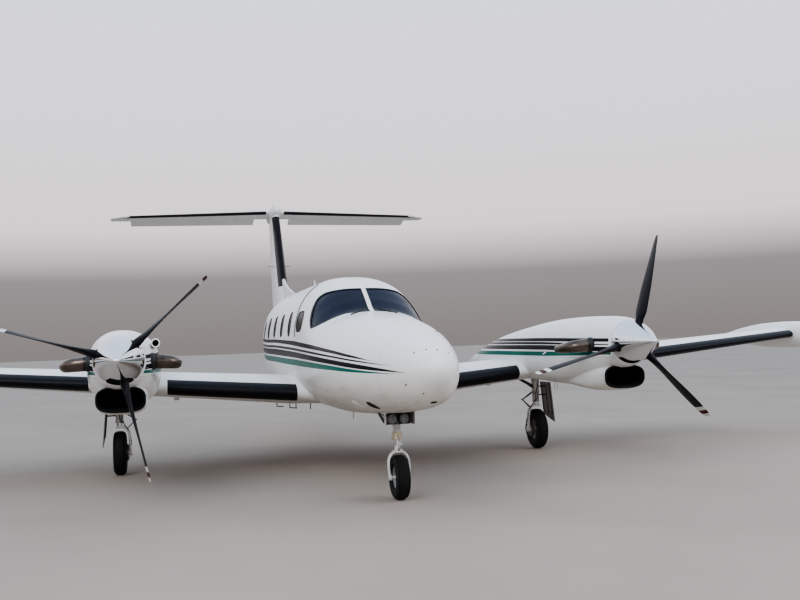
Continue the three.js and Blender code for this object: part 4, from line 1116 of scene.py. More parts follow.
def flat_ring(y, half_w, half_h, z, power=3.0, sides=96):
    c, s = superellipse(sides, power)
    return np.stack([PX + half_w * c, np.full(sides, y), z + half_h * s], 1)


def oval_path(rows, side, grow=0.0, sides=48):
    """Rings of an elliptic pipe beside the nacelle; side is 1 away from the fuselage."""
    dense = pchip(np.arange(len(rows)), np.array(rows))(np.linspace(0, len(rows) - 1, 4 * len(rows)))
    a = circle(sides)
    rings = []
    for out, back, heading, half_w, half_h, z in dense:
        c, s = cos_sin(heading)
        u, v = (half_w + grow) * np.cos(a), (half_h + grow) * np.sin(a)
        rings.append(np.stack([PX + side * (out + u * c), EXHAUST_Y + back - u * s, z + v], 1))
    return rings


def nacelles():
    hull_n = Hull(NACELLE, x0=PX)
    rings = hull_n.rings(NACELLE[0][0], NACELLE[-1][0], 45, 88)
    ref = Ref(rings)
    scoop_rings = [flat_ring(y, w, h, z) for y, w, h, z in
                   pchip([r[0] for r in SCOOP], np.array(SCOOP))(np.linspace(INTAKE["lip"], 2050, 40))]
    scoop_ref = Ref(scoop_rings)
    body = join(loft_object(rings), loft_object(scoop_rings))
    bay = common(loft_object(hull_n.rings(NACELLE[0][0], NACELLE[-1][0], 60, 64, -COWL)),
                 box(1500, 4000, 320, BAY_END, 1255, 2500))
    shaft = rod((PX, 0, PZ), (PX, 400, PZ), 190, 190, 64)
    duct = loft_object([flat_ring(y, INTAKE["half_w"], INTAKE["half_h"], INTAKE["z"])
                        for y in (300, INTAKE["depth"])])
    wing_room = loft_object([wing_ring(r, CAMBER, JOINT, 20) for r in WING])
    stubs = [loft_object(oval_path(STUB, s, 1.0)) for s in (1, -1)]
    body = cut(body, bay, shaft, duct, wing_room, leg_slot(), *stubs)
    # The intake duct, bay and other inner faces get near-black painted shade.
    shade(body, [ref, scoop_ref], [NACELLE_PAINT, NACELLE_PAINT, DARK_AND_SHADE], inner=2)
    pair(body, "nacelle_skin", BOTH, "nacelle")

    lip_rings, n_lip, lip = [], 120, INTAKE["lip"] + 2
    outline = flat_ring(0, INTAKE["half_w"] + 12, INTAKE["half_h"] + 12, INTAKE["z"], sides=n_lip)
    centre = np.array([PX, 0, INTAKE["z"]])
    for k, p in enumerate(outline):
        t = outline[(k + 1) % n_lip] - outline[k - 1]
        n = np.cross(t / np.linalg.norm(t), ALONG_Y)
        n = n if np.dot(n, p - centre) > 0 else -n
        lip_rings.append([p + n * 13.5 * math.cos(a) + np.array([0, lip + 30 * math.sin(a), 0])
                          for a in circle(20)])
    twins(loft_object(lip_rings, closed=True), "intake_lip", BOOT)

    for label, s in (("outboard", 1), ("inboard", -1)):
        bore = oval_path(STUB[3:] + [(548, 360, 0, 50, 45, 1440)], s, -6)
        pipe = cut(loft_object(oval_path(STUB, s)), loft_object(bore))
        twins(pipe, f"exhaust_{label}_pipe", EXHAUST_METAL, f"exhaust_{label}", angle=50)
        collar = [(out, 0, 90, 84 + g, 76 + g, z)
                  for out, z, g in ((262, 1479, 11), (300, 1478, 11), (322, 1478, 8), (334, 1478, 1))]
        ring = cut(loft_object(oval_path(collar, s)), loft_object(oval_path(STUB, s, 0.8)))
        twins(ring, f"exhaust_{label}_collar", RUBBER, angle=50)


# Propellers: radius, half chord, half thickness and twist of the blade
BLADE = [
    (96, 42, 42, 9), (215, 43, 40, 9), (250, 48, 38, 9), (290, 74, 33, 8.5), (335, 93, 27, 8),
    (450, 101, 20, 5.5), (600, 105, 14, 2), (800, 98, 11, -3.5), (986, 84, 9, -8), (1090, 72, 7.5, -10.5),
    (1160, 60, 6, -12), (1194, 44, 4.5, -13), (1206, 20, 2.5, -13),
]
# Spinner: distance ahead of the blades' plane as a negative number, and radius
SPINNER = [(-462, 0), (-458, 14), (-445, 26), (-407, 46), (-357, 71), (-287, 106), (-207, 145), (-107, 186),
           (-7, 221), (78, 241)]
# Tip bands in metres from the axis, with their colour
OFF_WHITE, RED = (0.62, 0.60, 0.57), (0.055, 0.008, 0.009)
BANDS = [(1.048, 1.103, OFF_WHITE), (1.103, 1.158, RED), (1.158, 1.3, OFF_WHITE)]
BLADE_STEM, BLADE_TIP, BOOT_END = 96, 1206, 430


def blade_paint(banded):
    m = Nodes("blade_paint_front" if banded else "blade_paint_back")
    n = m.noise(30, 5, 0.6)
    c = m.mix(m.ramp(n, 0.3, 0.8), (0.007, 0.007, 0.009), (0.016, 0.016, 0.018))
    dx = m.math("SUBTRACT", m.math("ABSOLUTE", m.x), PROP_X)
    dz = m.math("SUBTRACT", m.z, PROP_Z)
    r = m.math("SQRT", m.math("ADD", m.mul(dx, dx), m.mul(dz, dz)))
    if banded:
        for lo, hi, colour in BANDS:
            c = m.mix(m.between(r, lo, hi), c, colour)
    chips = m.mul(m.ramp(m.noise(90, 2), 0.66, 0.72), m.ramp(r, 0.5, 1.2))
    c = m.mix(m.mul(chips, 0.5), c, (0.35, 0.34, 0.33))
    m.set(m.shader, Base_Color=c, Roughness=m.ramp(n, 0.3, 0.8, 0.34, 0.48), IOR=1.2)
    m.bump(n, 0.08, 0.0008)
    return m.mat


BLADE_MATS = [blade_paint(False), blade_paint(True)]


def blade_rings(alpha, grow=0.0, upto=None):
    """Sections of a blade that stands alpha from upright; upto gives only its root, for the boot."""
    rows = np.array(BLADE, float)
    f = pchip(rows[:, 0], rows)
    whole = np.concatenate([np.linspace(BLADE_STEM, 1140, 40), np.linspace(1148, BLADE_TIP, 12)])
    rad = np.linspace(120, upto, 26) if upto else whole
    a = circle(36)
    ca, sa = math.cos(alpha), math.sin(alpha)
    rings = []
    for r, chord, thick, twist in f(rad):
        c, s = cos_sin(twist)
        flat = np.clip((r - 200) / 250, 0, 1)
        u = (chord + grow) * np.cos(a)
        v = (thick + grow) * bent(np.sin(a), 1 + 0.5 * flat)
        x, y = v * c - u * s, u * c + v * s
        rings.append(np.stack([PX + x * ca + r * sa, PROP_Y + y, PZ - x * sa + r * ca], 1))
    return rings


def propellers():
    axis = (PX, PROP_Y, PZ)
    for side, word in (("l", "port"), ("r", "starboard")):
        body, across = f"propeller_{word}", 0 if side == "l" else -2 * PX
        angles = [math.radians(BLADE_ANGLE[side] + 120 * k) for k in range(3)]
        hub = lathe([(-90, 0), (-90, 60), (-70, 92), (-40, 98), (72, 98), (72, 0)], axis)
        part(shifted(hub, across), f"propeller_hub_{side}", BARE, body, f"propeller_{side}")
        for k, alpha in enumerate(angles):
            face = Vector((math.cos(alpha), 0, -math.sin(alpha)))
            blade = shifted(loft_object(blade_rings(alpha)), across)
            two_tone(blade, BLADE_MATS, lambda n: n.dot(face) <= 0, 70)
            finish(blade, f"propeller_blade_{side}_{k + 1}", body)
            cuff = cut(*[loft_object(blade_rings(alpha, *size))
                         for size in ((2.2, BOOT_END), (0.4, BOOT_END + 30))])
            part(shifted(cuff, across), f"blade_boot_{side}_{k + 1}", BOOT, body, angle=50)
        outer = pchip([p[0] for p in SPINNER], np.array(SPINNER, float))
        ys = np.concatenate([-462 + 30 * np.linspace(0, 1, 10) ** 2, np.linspace(-428, 78, 34)])
        profile = [(y, r) for y, r in outer(ys)]
        inner = [(y, r - 8) for y, r in outer(np.linspace(78, -440, 30))]
        shell = lathe(profile + inner + [(-450, 0)], axis, sides=96)
        for alpha in angles:
            d, c = Vector((math.sin(alpha), 0, math.cos(alpha))), Vector(axis)
            shell = cut(shell, rod(c + d * 110, c + d * 400, 56, 56, 48))
        part(shifted(shell, across), f"spinner_shell_{side}", CHROME, body, f"spinner_{side}", 30)
        plate = lathe([(60, 98), (60, 232), (70, 232), (70, 98)], axis, sides=96)
        part(shifted(plate, across), f"spinner_back_plate_{side}", BARE, body)


def shifted(ob, dx):
    ob.data.transform(Matrix.Translation((dx / 1000, 0, 0)))
    return ob


# Tail. Fin: height, leading edge, chord, thickness. Dorsal fillet: y, top
FIN = [(2280, 8860, 2400, 0.102), (3300, 9512, 1990, 0.106), (4330, 10170, 1410, 0.114)]
DORSAL = [(6880, 2400), (7181, 2452), (7547, 2512), (7830, 2561), (8222, 2626), (8630, 2706), (9060, 2830),
          (9420, 2960)]
RUDDER = dict(low=2372, high=4180, y_low=10720, y_high=11070, nose=(62, 56))
TAILPLANE = [(0, 10400, 4375, 1090, 0.10), (3050, 10715, 4328, 720, 0.09), (3332, 10960, 4322, 420, 0.08)]
ELEVATOR = dict(inner=370, outer=2950, y=11075, z=4371, rise=-0.0155, nose=(46, 35), droop=18)
# Bullet: columns as for the fuselage
BULLET = [(10064, 0, 4365, 4365, 4365), (10075, 26, 4392, 4338, 4365), (10200, 85, 4470, 4270, 4370),
          (10500, 125, 4518, 4215, 4366), (11000, 118, 4490, 4205, 4347), (11400, 80, 4430, 4240, 4335),
          (11618, 20, 4360, 4320, 4340), (11630, 0, 4340, 4340, 4340)]


def fin_ring(row, half=26):
    z, lead, chord, t = row
    u, v = aerofoil(t, 0, half)
    return np.stack([-v * chord, lead + u * chord, np.full_like(u, z)], 1)


def dorsal_rings():
    """Dorsal fillet that grows out of the cabin roof into the fin's leading edge."""
    crest = pchip([y for y, _ in DORSAL], np.array(DORSAL, float))
    rings = []
    for k in np.linspace(0, 1, 40):
        y, top = crest(DORSAL[0][0] + (DORSAL[-1][0] - DORSAL[0][0]) * k)[0]
        half = 8 + 26 * k
        a = np.linspace(0, np.pi, 17)
        upper = np.stack([half * np.cos(a), np.full(17, y), top - 40 + 40 * np.sin(a)], 1)
        rings.append(np.vstack([upper, [(-half - 18 * k, y, 2250), (half + 18 * k, y, 2250)]]))
    return rings


def tail():
    fin_rings = [fin_ring(r) for r in spread(FIN, 110)]
    fin_ref = Ref(fin_rings, wrap=False)
    fin = loft_object(fin_rings)
    slope = (RUDDER["y_high"] - RUDDER["y_low"]) / (RUDDER["high"] - RUDDER["low"])
    on = lambda z: (0, RUDDER["y_low"] + slope * (z - RUDDER["low"]), z)

    def region(grow, wide=False):
        back = 400 if wide else 0
        low, high = RUDDER["low"], RUDDER["high"]
        return prism([(on(low)[1] - back, low - grow), (on(high)[1] - back, high + grow),
                      (12200, high + grow), (12200, low - grow)], "x", -300, 300)
    rudder, room, pins = swung(fin, on(RUDDER["low"] - 5), on(RUDDER["high"] + 5), *RUDDER["nose"], region)
    shade(rudder, [fin_ref], [WING_PAINT, WING_PAINT])
    finish(rudder, "rudder_skin", "rudder", "rudder")
    bullet_hull = Hull(BULLET, round_front=True, round_back=True)
    bullet_rings = bullet_hull.rings(10064, 11630, 30, 64)
    bullet_ref = Ref(bullet_rings, caps=True)
    tail_rows = spread(TAILPLANE, 110)
    port = [wing_ring(r, 0, 0, 26) for r in tail_rows]
    across = lambda rings: [p * (-1, 1, 1) for p in rings[:0:-1]] + rings
    tail_rings, grown = across(port), across([wing_ring(r, 0, JOINT, 26) for r in tail_rows])
    body = join(cut(fin, room), loft_object(bullet_rings), loft_object(dorsal_rings()), pins)
    body = cut(body, hull_part(CABIN_BACK, TAIL_END, JOINT, 80), loft_object(grown))
    shade(body, [fin_ref, bullet_ref], [WING_PAINT, WING_PAINT, WING_PAINT], inner=2, angle=30)
    finish(body, "fin_skin", "airframe", "fin")

    plane_ref = Ref(tail_rings, wrap=False)
    plane = loft_object(tail_rings)
    e = ELEVATOR
    hinge = lambda x: (x, e["y"], e["z"] + e["rise"] * x)

    def zone(grow, wide=False):
        return box(e["inner"] - grow, e["outer"] + grow, e["y"] - (400 if wide else 0), 12200, 4000, 4600)
    ends = hinge(e["inner"] - 5), hinge(e["outer"] + 5)
    elevator, cut_port, pins_port = swung(plane, *ends, *e["nose"], zone)
    shade(elevator, [plane_ref], [WING_PAINT, WING_PAINT])
    pivot = Vector(at(*hinge(e["inner"])))
    droop = Matrix.Rotation(-math.radians(e["droop"]), 4, Vector((1, 0, e["rise"])))
    turn(elevator, Matrix.Translation(pivot) @ droop @ Matrix.Translation(-pivot))
    pair(elevator, "elevator_skin", ("elevator_port", "elevator_starboard"), "elevator")
    other_cut, other_pins = mirrored(cut_port, "a"), mirrored(pins_port, "b")
    plane = join(cut(plane, cut_port, other_cut), pins_port, other_pins)
    finish(shade(plane, [plane_ref], [WING_PAINT, WING_PAINT]),
           "tailplane_skin", "airframe", "tailplane")
    twins(boot(tail_rows, 185, 3060, 0, 74), "tailplane_boot", BOOT, angle=50)
    rows = [(z, lead, 0, chord, t, 0) for z, lead, chord, t in spread(FIN, 110)]
    fin_boot = boot(rows, 2750, 4250, 0, 250)
    fin_boot.data.transform(Matrix(((0, 0, -1, 0), (0, 1, 0, 0), (1, 0, 0, 0), (0, 0, 0, 1))))
    part(fin_boot, "fin_boot", BOOT, angle=50)


# Landing gear
def tyre_rubber():
    m = Nodes("tyre_rubber")
    n = m.noise(28, 6, 0.6)
    dust = m.ramp(m.noise(6, 4), 0.45, 0.8)
    c = m.mix(m.ramp(n, 0.3, 0.8), (0.007, 0.007, 0.008), (0.014, 0.0135, 0.0135))
    m.set(m.shader, Base_Color=m.mix(m.mul(dust, 0.25), c, (0.05, 0.046, 0.042)),
          Roughness=m.ramp(n, 0.2, 0.8, 0.62, 0.85), IOR=1.35)
    m.bump(n, 0.3, 0.0010)
    return m.mat


def lens_glass():
    m = Nodes("lens_glass")
    n = m.noise(140, 2)
    m.set(m.shader, Base_Color=m.mix(n, (0.85, 0.88, 0.92), (0.75, 0.78, 0.82)), Roughness=0.04, Alpha=0.15,
          Coat_Weight=0.5, Coat_Roughness=0.02)
    m.bump(n, 0.1, 0.0006)
    return m.mat


TYRE_RUBBER, LENS = tyre_rubber(), lens_glass()
GEAR_PAINT = plain("gear_enamel", (0.66, 0.65, 0.62), 0.35, coat=0.25, grain=22, vary=0.35)
FORK_PAINT = plain("fork_enamel", (0.78, 0.77, 0.74), 0.32, coat=0.3, grain=22, vary=0.25)
DARK_GEAR = plain("dark_gear_steel", (0.045, 0.045, 0.05), 0.45, 0.4, grain=30)
OLEO = plain("oleo_chrome", (0.74, 0.74, 0.76), 0.10, 1.0, grain=4, vary=0.05, depth=0.0)
GOLD = plain("anodised_collar", (0.62, 0.53, 0.36), 0.35, 0.5, grain=30)
SILVER = plain("wheel_silver", (0.34, 0.34, 0.335), 0.38, 0.6, grain=18, vary=0.3)
BRAKE = plain("brake_steel", (0.14, 0.13, 0.13), 0.42, 0.8, grain=40)
DOOR_INSIDE = plain("gear_door_inside", (0.26, 0.255, 0.23), 0.5, grain=24)
NOSE_WHEEL = dict(r=222.5, half=75, rim=115, hub=44, axle=16)
MAIN_WHEEL = dict(r=280.5, half=82.5, rim=138, hub=52, axle=24)
RAKE = math.tan(math.radians(6.5))
NOSE_DOOR = [(-122, 1000), (-122, 756), (0, 756), (260, 845), (852, 850), (852, 1000)]


def steer(z, x=0, dy=0):
    """Point at height z on the raked steering axis."""
    return (x, (z - NOSE_WHEEL["r"]) * RAKE + dy, z)


def tyre(w, place):
    h, r, rim = w["half"], w["r"], w["rim"]
    d = r - rim
    side = pchip([0, 0.18, 0.42, 0.66, 0.82, 0.93, 1.0], np.array([
        (0.62, rim + 2), (0.84, rim + 0.10 * d), (0.995, rim + 0.42 * d), (0.93, rim + 0.70 * d),
        (0.74, rim + 0.89 * d), (0.46, rim + 0.975 * d), (0.0, r)]))(np.linspace(0, 1, 40))
    tread = lambda x: np.interp(-x, -side[:, 0], side[:, 1])
    outer = [(-x * h, q) for x, q in side if x > 0.66]
    grooves, xs = (-0.42, -0.15, 0.15, 0.42), np.linspace(-0.66, 0.66, 25)
    for g in grooves:
        xs = xs[np.abs(xs - g) > 0.05]
    points = [(x, 0) for x in xs] + [(g + e, k) for g in grooves
                                     for e, k in ((-.042, 0), (-.03, 6), (.03, 6), (.042, 0))]
    outer += [(x * h, tread(abs(x)) - k) for x, k in sorted(points)]
    outer += [(x * h, q) for x, q in side[::-1] if x > 0.66]
    return shade(lathe(outer, place, "x", 128), [], [TYRE_RUBBER], angle=30)


def rim(w, place, holes=8):
    h, q, hub, axle = w["half"], w["rim"], w["hub"], w["axle"]
    half = [(0.60, q + 1), (0.60, q - 5), (0.55, q - 12), (0.40, q - 19), (0.29, q - 27), (0.23, hub + 20),
            (0.30, hub + 9), (0.50, hub), (0.50, axle + 1)]
    profile = [(x * h, r) for x, r in half] + [(-x * h, r) for x, r in half[::-1]]
    wheel = lathe(profile, place, "x", 96)
    x, y, z = place
    ring = lambda n, r, start=0: [(y + r * math.cos(t), z + r * math.sin(t))
                                  for t in start + np.arange(n) * 2 * math.pi / n]
    middle = (hub + 20 + q - 27) / 2
    wheel = cut(wheel, *[rod((x - h, u, v), (x + h, u, v), 11, 11, 20) for u, v in ring(holes, middle)])
    bolts = [rod((x + s * 0.20 * h, u, v), (x + s * 0.36 * h, u, v), 6.5, 6.5, 6)
             for s in (1, -1) for u, v in ring(holes, middle, math.pi / holes)]
    return shade(wheel, [], [SILVER]), shade(merge(*bolts), [], [BARE], angle=20)


def wheel(w, place, prefix, body, node, side=""):
    r, bolts = rim(w, place)
    finish(r, f"{prefix}_rim_casting{side}", body, f"{node}_rim{side}")
    finish(bolts, f"{prefix}_rim_bolts{side}", body)
    finish(tyre(w, place), f"{prefix}_tyre_rubber{side}", body, f"{node}_tyre{side}")


def gear_door(leaf, name):
    two_tone(leaf, [PLAIN_WHITE, DOOR_INSIDE], lambda n: n.x > 0.5)
    pair(leaf, name + "_leaf", BOTH, name)


def nose_gear():
    zs = [(640.3, 40), (664, 40), (666, 40), (742, 40), (745, 45), (770, 45), (774, 41), (900, 42),
          (905, 47), (940, 47), (945, 44), (1144, 46)]
    leg = tube([steer(z) for z, _ in zs], [r for _, r in zs], 48)
    arms = [rod(steer(762, s * 30), (s * 62, 600, 1134), 13, 15, 20) for s in (1, -1)]
    pin = rod(steer(762, -52), steer(762, 52), 15, 15, 20)
    part(join(leg, pin, *arms), "nose_leg_cylinder", GEAR_PAINT, replaces="nose_leg")
    upper = cut(tube([steer(z) for z in (637.5, 640, 668, 672)], [47, 49, 49, 42], 48),
                box(-11, 11, -60, 30, 600, 656))
    part(upper, "nose_leg_collar", GOLD)
    tray = cut(box(-127, 127, -26, 32, 757, 868), box(-121, 121, -60, 24, 763, 862))
    part(tray, "nose_lamp_bracket", DARK_GEAR)
    for side, x in (("l", 62), ("r", -68)):
        shell = lathe([(22, 0), (22, 12), (12, 30), (-30, 48), (-34, 53), (-44, 52), (-44, 44), (-32, 42),
                       (6, 24), (14, 0)], (x, 0, 811), "y", 64)
        part(shell, f"nose_lamp_reflector_{side}", BRAKE)
        lens = lathe([(-52, 0), (-50, 18), (-44, 43.5), (-41, 43.5), (-46, 0)], (x, 0, 811), "y", 64)
        part(lens, f"nose_lamp_lens_{side}", LENS)
        bulb = lathe([(-22, 0), (-18, 6), (-4, 7), (12, 3), (12, 0)], (x, 0, 811), "y", 24)
        part(bulb, f"nose_lamp_bulb_{side}", BARE)

    body = "nose_steering"
    piston = tube([steer(486), steer(639.4)], [25, 25], 40)
    crown = sweep([steer(478, x) for x in np.linspace(-50, 50, 9)], 16, 34, ALONG_Y)
    knuckle = rod(steer(468), steer(536), 40, 30, 40)
    parts = [crown, knuckle]
    for s in (1, -1):
        path = smooth_path([(s * 30, 28, 474), (s * 58, 27, 466), (s * 88, 24, 432), (s * 104, 18, 380),
                            (s * 106, 10, 320), (s * 101, 4, 260), (s * 99, 0, 223)], 30)
        parts += [sweep(path, 12, np.linspace(31, 24, 30), ALONG_Y),
                  rod((s * 82, 0, NOSE_WHEEL["r"]), (s * 108, 0, NOSE_WHEEL["r"]), 29, 27, 40),
                  rod((s * 106, 0, NOSE_WHEEL["r"]), (s * 110, 0, NOSE_WHEEL["r"]), 17, 17, 6)]
    fork = join(*parts, rod((-84, 0, NOSE_WHEEL["r"]), (84, 0, NOSE_WHEEL["r"]), 15.5, 15.5, 32))
    fork = cut(fork, rod(steer(512, 0, -60), steer(512, 0, 60), 10, 10, 24))
    part(fork, "nose_fork_casting", FORK_PAINT, body, replaces="nose_fork")
    part(piston, "nose_oleo_piston", OLEO, body)
    collar = tube([steer(z) for z in (592, 597, 634, 637)], [32, 44, 45, 44], 48)
    arm = sweep([steer(614, -20), steer(616, -46), steer(622, -62)], 12, [20, 18, 12], ALONG_Y)
    collar = cut(join(collar, arm), box(-11, 11, -60, 10, 604, 660))
    part(collar, "nose_steering_collar", GOLD, body)
    y, z = -78, 556
    links = []
    for s in (1, -1):
        for y0, z0 in ((-24, 616), (-4, 494)):
            path = [(s * 10, y0, z0), (s * 9, (y0 + y) / 2, (z0 + z) / 2), (s * 8, y, z)]
            links.append(sweep(path, 5, [13, 10, 8], ALONG_Y, 16))
    links.append(rod((-20, y, z), (20, y, z), 8, 8, 16))
    part(merge(*links), "nose_torque_links", GEAR_PAINT, body)
    wheel(NOSE_WHEEL, (0, 0, NOSE_WHEEL["r"]), "nose_wheel", "nose_wheel", "nose")

    outline = rounded(NOSE_DOOR, 40, 5)
    leaf = loft_object([[(x, y, z) for y, z in outline] for x in (141, 150)])
    gear_door(leaf, "nose_gear_door")
    ribs = merge(*[sweep([(138, y, 980), (138, y, 862)], 3, 7, ALONG_Y, 12) for y in (-60, 200, 460, 720)])
    twins(ribs, "nose_gear_door_ribs", DARK_GEAR)
    strut = merge(sweep([(-204, -34, 890), (-170, -32, 828), (-133, -30, 764)], 13, 9, ALONG_Y, 16),
                  rod((-172, -48, 874), (-142, -46, 834), 5, 5, 12))
    part(strut, "nose_door_strut", DARK_GEAR)
    rods = rod((60, 240, 1040), (138, 200, 900), 6, 6, 12)
    twins(rods, "nose_gear_door_rod", BARE)


# Brake hoses of the main leg: number of points, then places beside the leg's axis with their height
HOSES = [
    (48, [(-30, -52, 812), (-34, -74, 770), (-30, -80, 715), (-46, -62, 672), (-70, -40, 630),
          (-118, -30, 540), (-140, -20, 420), (-140, 40, 372)]),
    (30, [(-4, -56, 830), (-2, -78, 780), (-8, -78, 712), (-30, -58, 665)]),
    (20, [(30, -50, 1010), (20, -58, 930), (-4, -58, 830)]),
]


def main_gear():
    x, y, z = 1000 * TRACK_X, BASE_Y, MAIN_WHEEL["r"]
    zs = [(662, 50), (668, 54), (690, 54), (694, 49), (780, 49), (784, 55), (820, 55), (824, 51), (950, 52),
          (955, 58), (985, 58), (990, 55), (1150, 57)]
    leg = tube([(x, y, q) for q, _ in zs], [r for _, r in zs], 56)
    lug = sweep([(x - 40, y, 800), (x - 66, y, 800)], 14, 30, ALONG_Y)
    brace = sweep([(x - 20, y, 868), (x - 120, y, 930), (x - 260, y, 1008), (x - 345, y, 1058)],
                  [26, 21, 16, 15], [34, 30, 24, 20], ALONG_Y)
    brace = cut(brace, rod((x - 90, y, 860), (x - 110, y, 980), 13, 13, 24))
    twins(join(leg, lug), "main_leg_cylinder", GEAR_PAINT, "main_leg")
    twins(brace, "main_side_brace", DARK_GEAR)
    twins(rod((x, y, 600), (x, y, 664), 35, 35, 48), "main_oleo_piston", OLEO)
    path = smooth_path([(x + 42, y, 614), (x, y, 616), (x - 50, y, 606), (x - 96, y, 572),
                        (x - 118, y, 508), (x - 125, y, 420), (x - 126, y, 340), (x - 126, y, z)], 40)
    fork = join(sweep(path, np.linspace(18, 15, 40), np.linspace(40, 34, 40), ALONG_Y),
                rod((x, y, 596), (x, y, 640), 44, 41, 48),
                rod((x - 148, y, z), (x - 104, y, z), 42, 42, 48),
                rod((x - 126, y, z), (x + 60, y, z), 23.5, 23.5, 32))
    twins(fork, "main_half_fork", FORK_PAINT)
    nut = rod((x + 40, y, z), (x + 62, y, z), 30, 28, 6)
    twins(nut, "main_axle_nut", BARE, angle=20)
    back = cut(rod((x - 104, y, z), (x - 88, y, z), 106, 106, 72),
               rod((x - 120, y, z), (x - 80, y, z), 44, 44, 32))
    arc = [(x - 112, y + 96 * math.cos(t), z + 96 * math.sin(t)) for t in np.linspace(-0.5, 0.9, 9)]
    twins(join(back, sweep(arc, 22, 26, ALONG_X)), "main_brake_unit", BRAKE)
    around = [(y + 74 * math.cos(t), z + 74 * math.sin(t)) for t in np.arange(8) * math.pi / 4 + 0.4]
    studs = [rod((x - 122, *p), (x - 100, *p), 8, 8, 6) for p in around]
    twins(merge(*studs), "main_brake_studs", OLEO, angle=20)
    links = []
    for dy in (-1, 1):
        for end in ((x - 52, 800), (x - 92, 588)):
            a, b = Vector((end[0], y + dy * 30, end[1])), Vector((x - 205, y + dy * 8, 700))
            links.append(sweep([a, a.lerp(b, 0.5), b], 6, [9, 8, 8], ALONG_Y, 16))
        links.append(sweep([(x - 130, y - 22, 752), (x - 130, y + 22, 752)], 6, 5, ALONG_X, 12))
    links.append(rod((x - 205, y - 22, 700), (x - 205, y + 22, 700), 10, 10, 16))
    twins(merge(*links), "main_torque_links", DARK_GEAR)
    hoses = [tube(smooth_path([(x + dx, y + dy, q) for dx, dy, q in route], n), 6, 12)
             for n, route in HOSES]
    twins(merge(*hoses), "main_brake_hoses", RUBBER)
    for side, s in (("_l", 1), ("_r", -1)):
        word = "port" if s > 0 else "starboard"
        wheel(MAIN_WHEEL, (s * x, y, z), "main_wheel", f"main_wheel_{word}", "main", side)

    lean = lambda q: x + 148 + (940 - q) * 50 / 568
    outline = rounded([(y - 190, 372), (y + 190, 470), (y + 190, 940), (y - 190, 940)], 26, 5)
    leaf = loft_object([[(lean(q) + d, p, q) for p, q in outline] for d in (0, 10)])
    gear_door(leaf, "main_gear_door")
    ribs = [sweep([(lean(q) - 3, y + d, q) for q in (925, 480)], 3, 9, ALONG_Y, 12) for d in (-150, 0, 150)]
    ribs += [rod((x + 46, y, q), (lean(q), y, q), 9, 9, 16) for q in (880, 760)]
    twins(merge(*ribs), "main_gear_door_links", DARK_GEAR)


# Cabin interior
def fibre(name, colour, scale, depth, rough=0.85):
    """Cloth or leather: fine grain in tone and relief."""
    m = Nodes(name)
    fine, broad = m.noise(scale, 6, 0.6), m.noise(5, 3)
    dark = tuple(v * 0.6 for v in colour)
    m.set(m.shader, Base_Color=m.mix(m.mul(m.ramp(broad, 0.3, 0.8), 0.5), m.mix(fine, colour, dark), dark),
          Roughness=m.ramp(fine, 0.2, 0.8, rough * 0.8, rough))
    m.bump(fine, 0.35, depth)
    return m.mat


CARPET = fibre("wool_carpet", (0.13, 0.115, 0.10), 260, 0.003, 1.0)
LEATHER = fibre("seat_leather", (0.42, 0.36, 0.27), 190, 0.0007, 0.55)
PIPING = fibre("seat_piping", (0.22, 0.18, 0.13), 190, 0.0005, 0.5)
SHELL = plain("seat_shell", (0.20, 0.19, 0.17), 0.45)
BEACON = plain("beacon_red", (0.35, 0.015, 0.012), 0.15, coat=0.6, grain=20)
PANEL = plain("panel_black", (0.022, 0.022, 0.024), 0.6, grain=80)
DIAL = plain("dial_face", (0.012, 0.014, 0.018), 0.2, grain=20)
BEZEL = plain("dial_bezel", (0.10, 0.10, 0.105), 0.4, 0.5)
FLOOR_Z, CREW_X, CABIN_X = 1050, 330, 340


def soft_ring(half_w, half_d, s):
    c, d = superellipse(72, 5.0)
    return np.stack([half_w * s * c, half_d * s * d, np.zeros(len(c))], 1)


def cushion(width, depth, height, channels, place, tilt=0.0, crown=0.0):
    """Stuffed cushion with a crowned top, sewn channels across it and piping round its edge."""
    rings = []
    for t in np.linspace(-np.pi / 2 + 0.03, np.pi / 2 - 0.03, 33):
        ring = soft_ring(width / 2, depth / 2, np.cos(t) ** 0.34)
        ring[:, 2] = height / 2 * bent(np.sin(t), 0.8)
        if t > 0:
            ring[:, 2] += crown * (1 - (2 * ring[:, 0] / width) ** 2) * np.sin(t)
            for k in range(channels):
                line = depth * ((k + 1) / (channels + 1) - 0.5)
                ring[:, 2] -= 9 * np.exp(-((ring[:, 1] - line) / 9) ** 2) * np.sin(t) ** 2
        rings.append(ring)
    edge = soft_ring(width / 2 + 1, depth / 2 + 1, 1.0)
    edge[:, 2] = height * 0.12
    body, cord = loft_object(rings), tube(edge, 5, 10, closed=True)
    move = Matrix.Translation(Vector(place) / 1000) @ Matrix.Rotation(tilt, 4, "X")
    return (shade(settle(body, move), [], [LEATHER], angle=80),
            shade(settle(cord, move), [], [PIPING], angle=80))


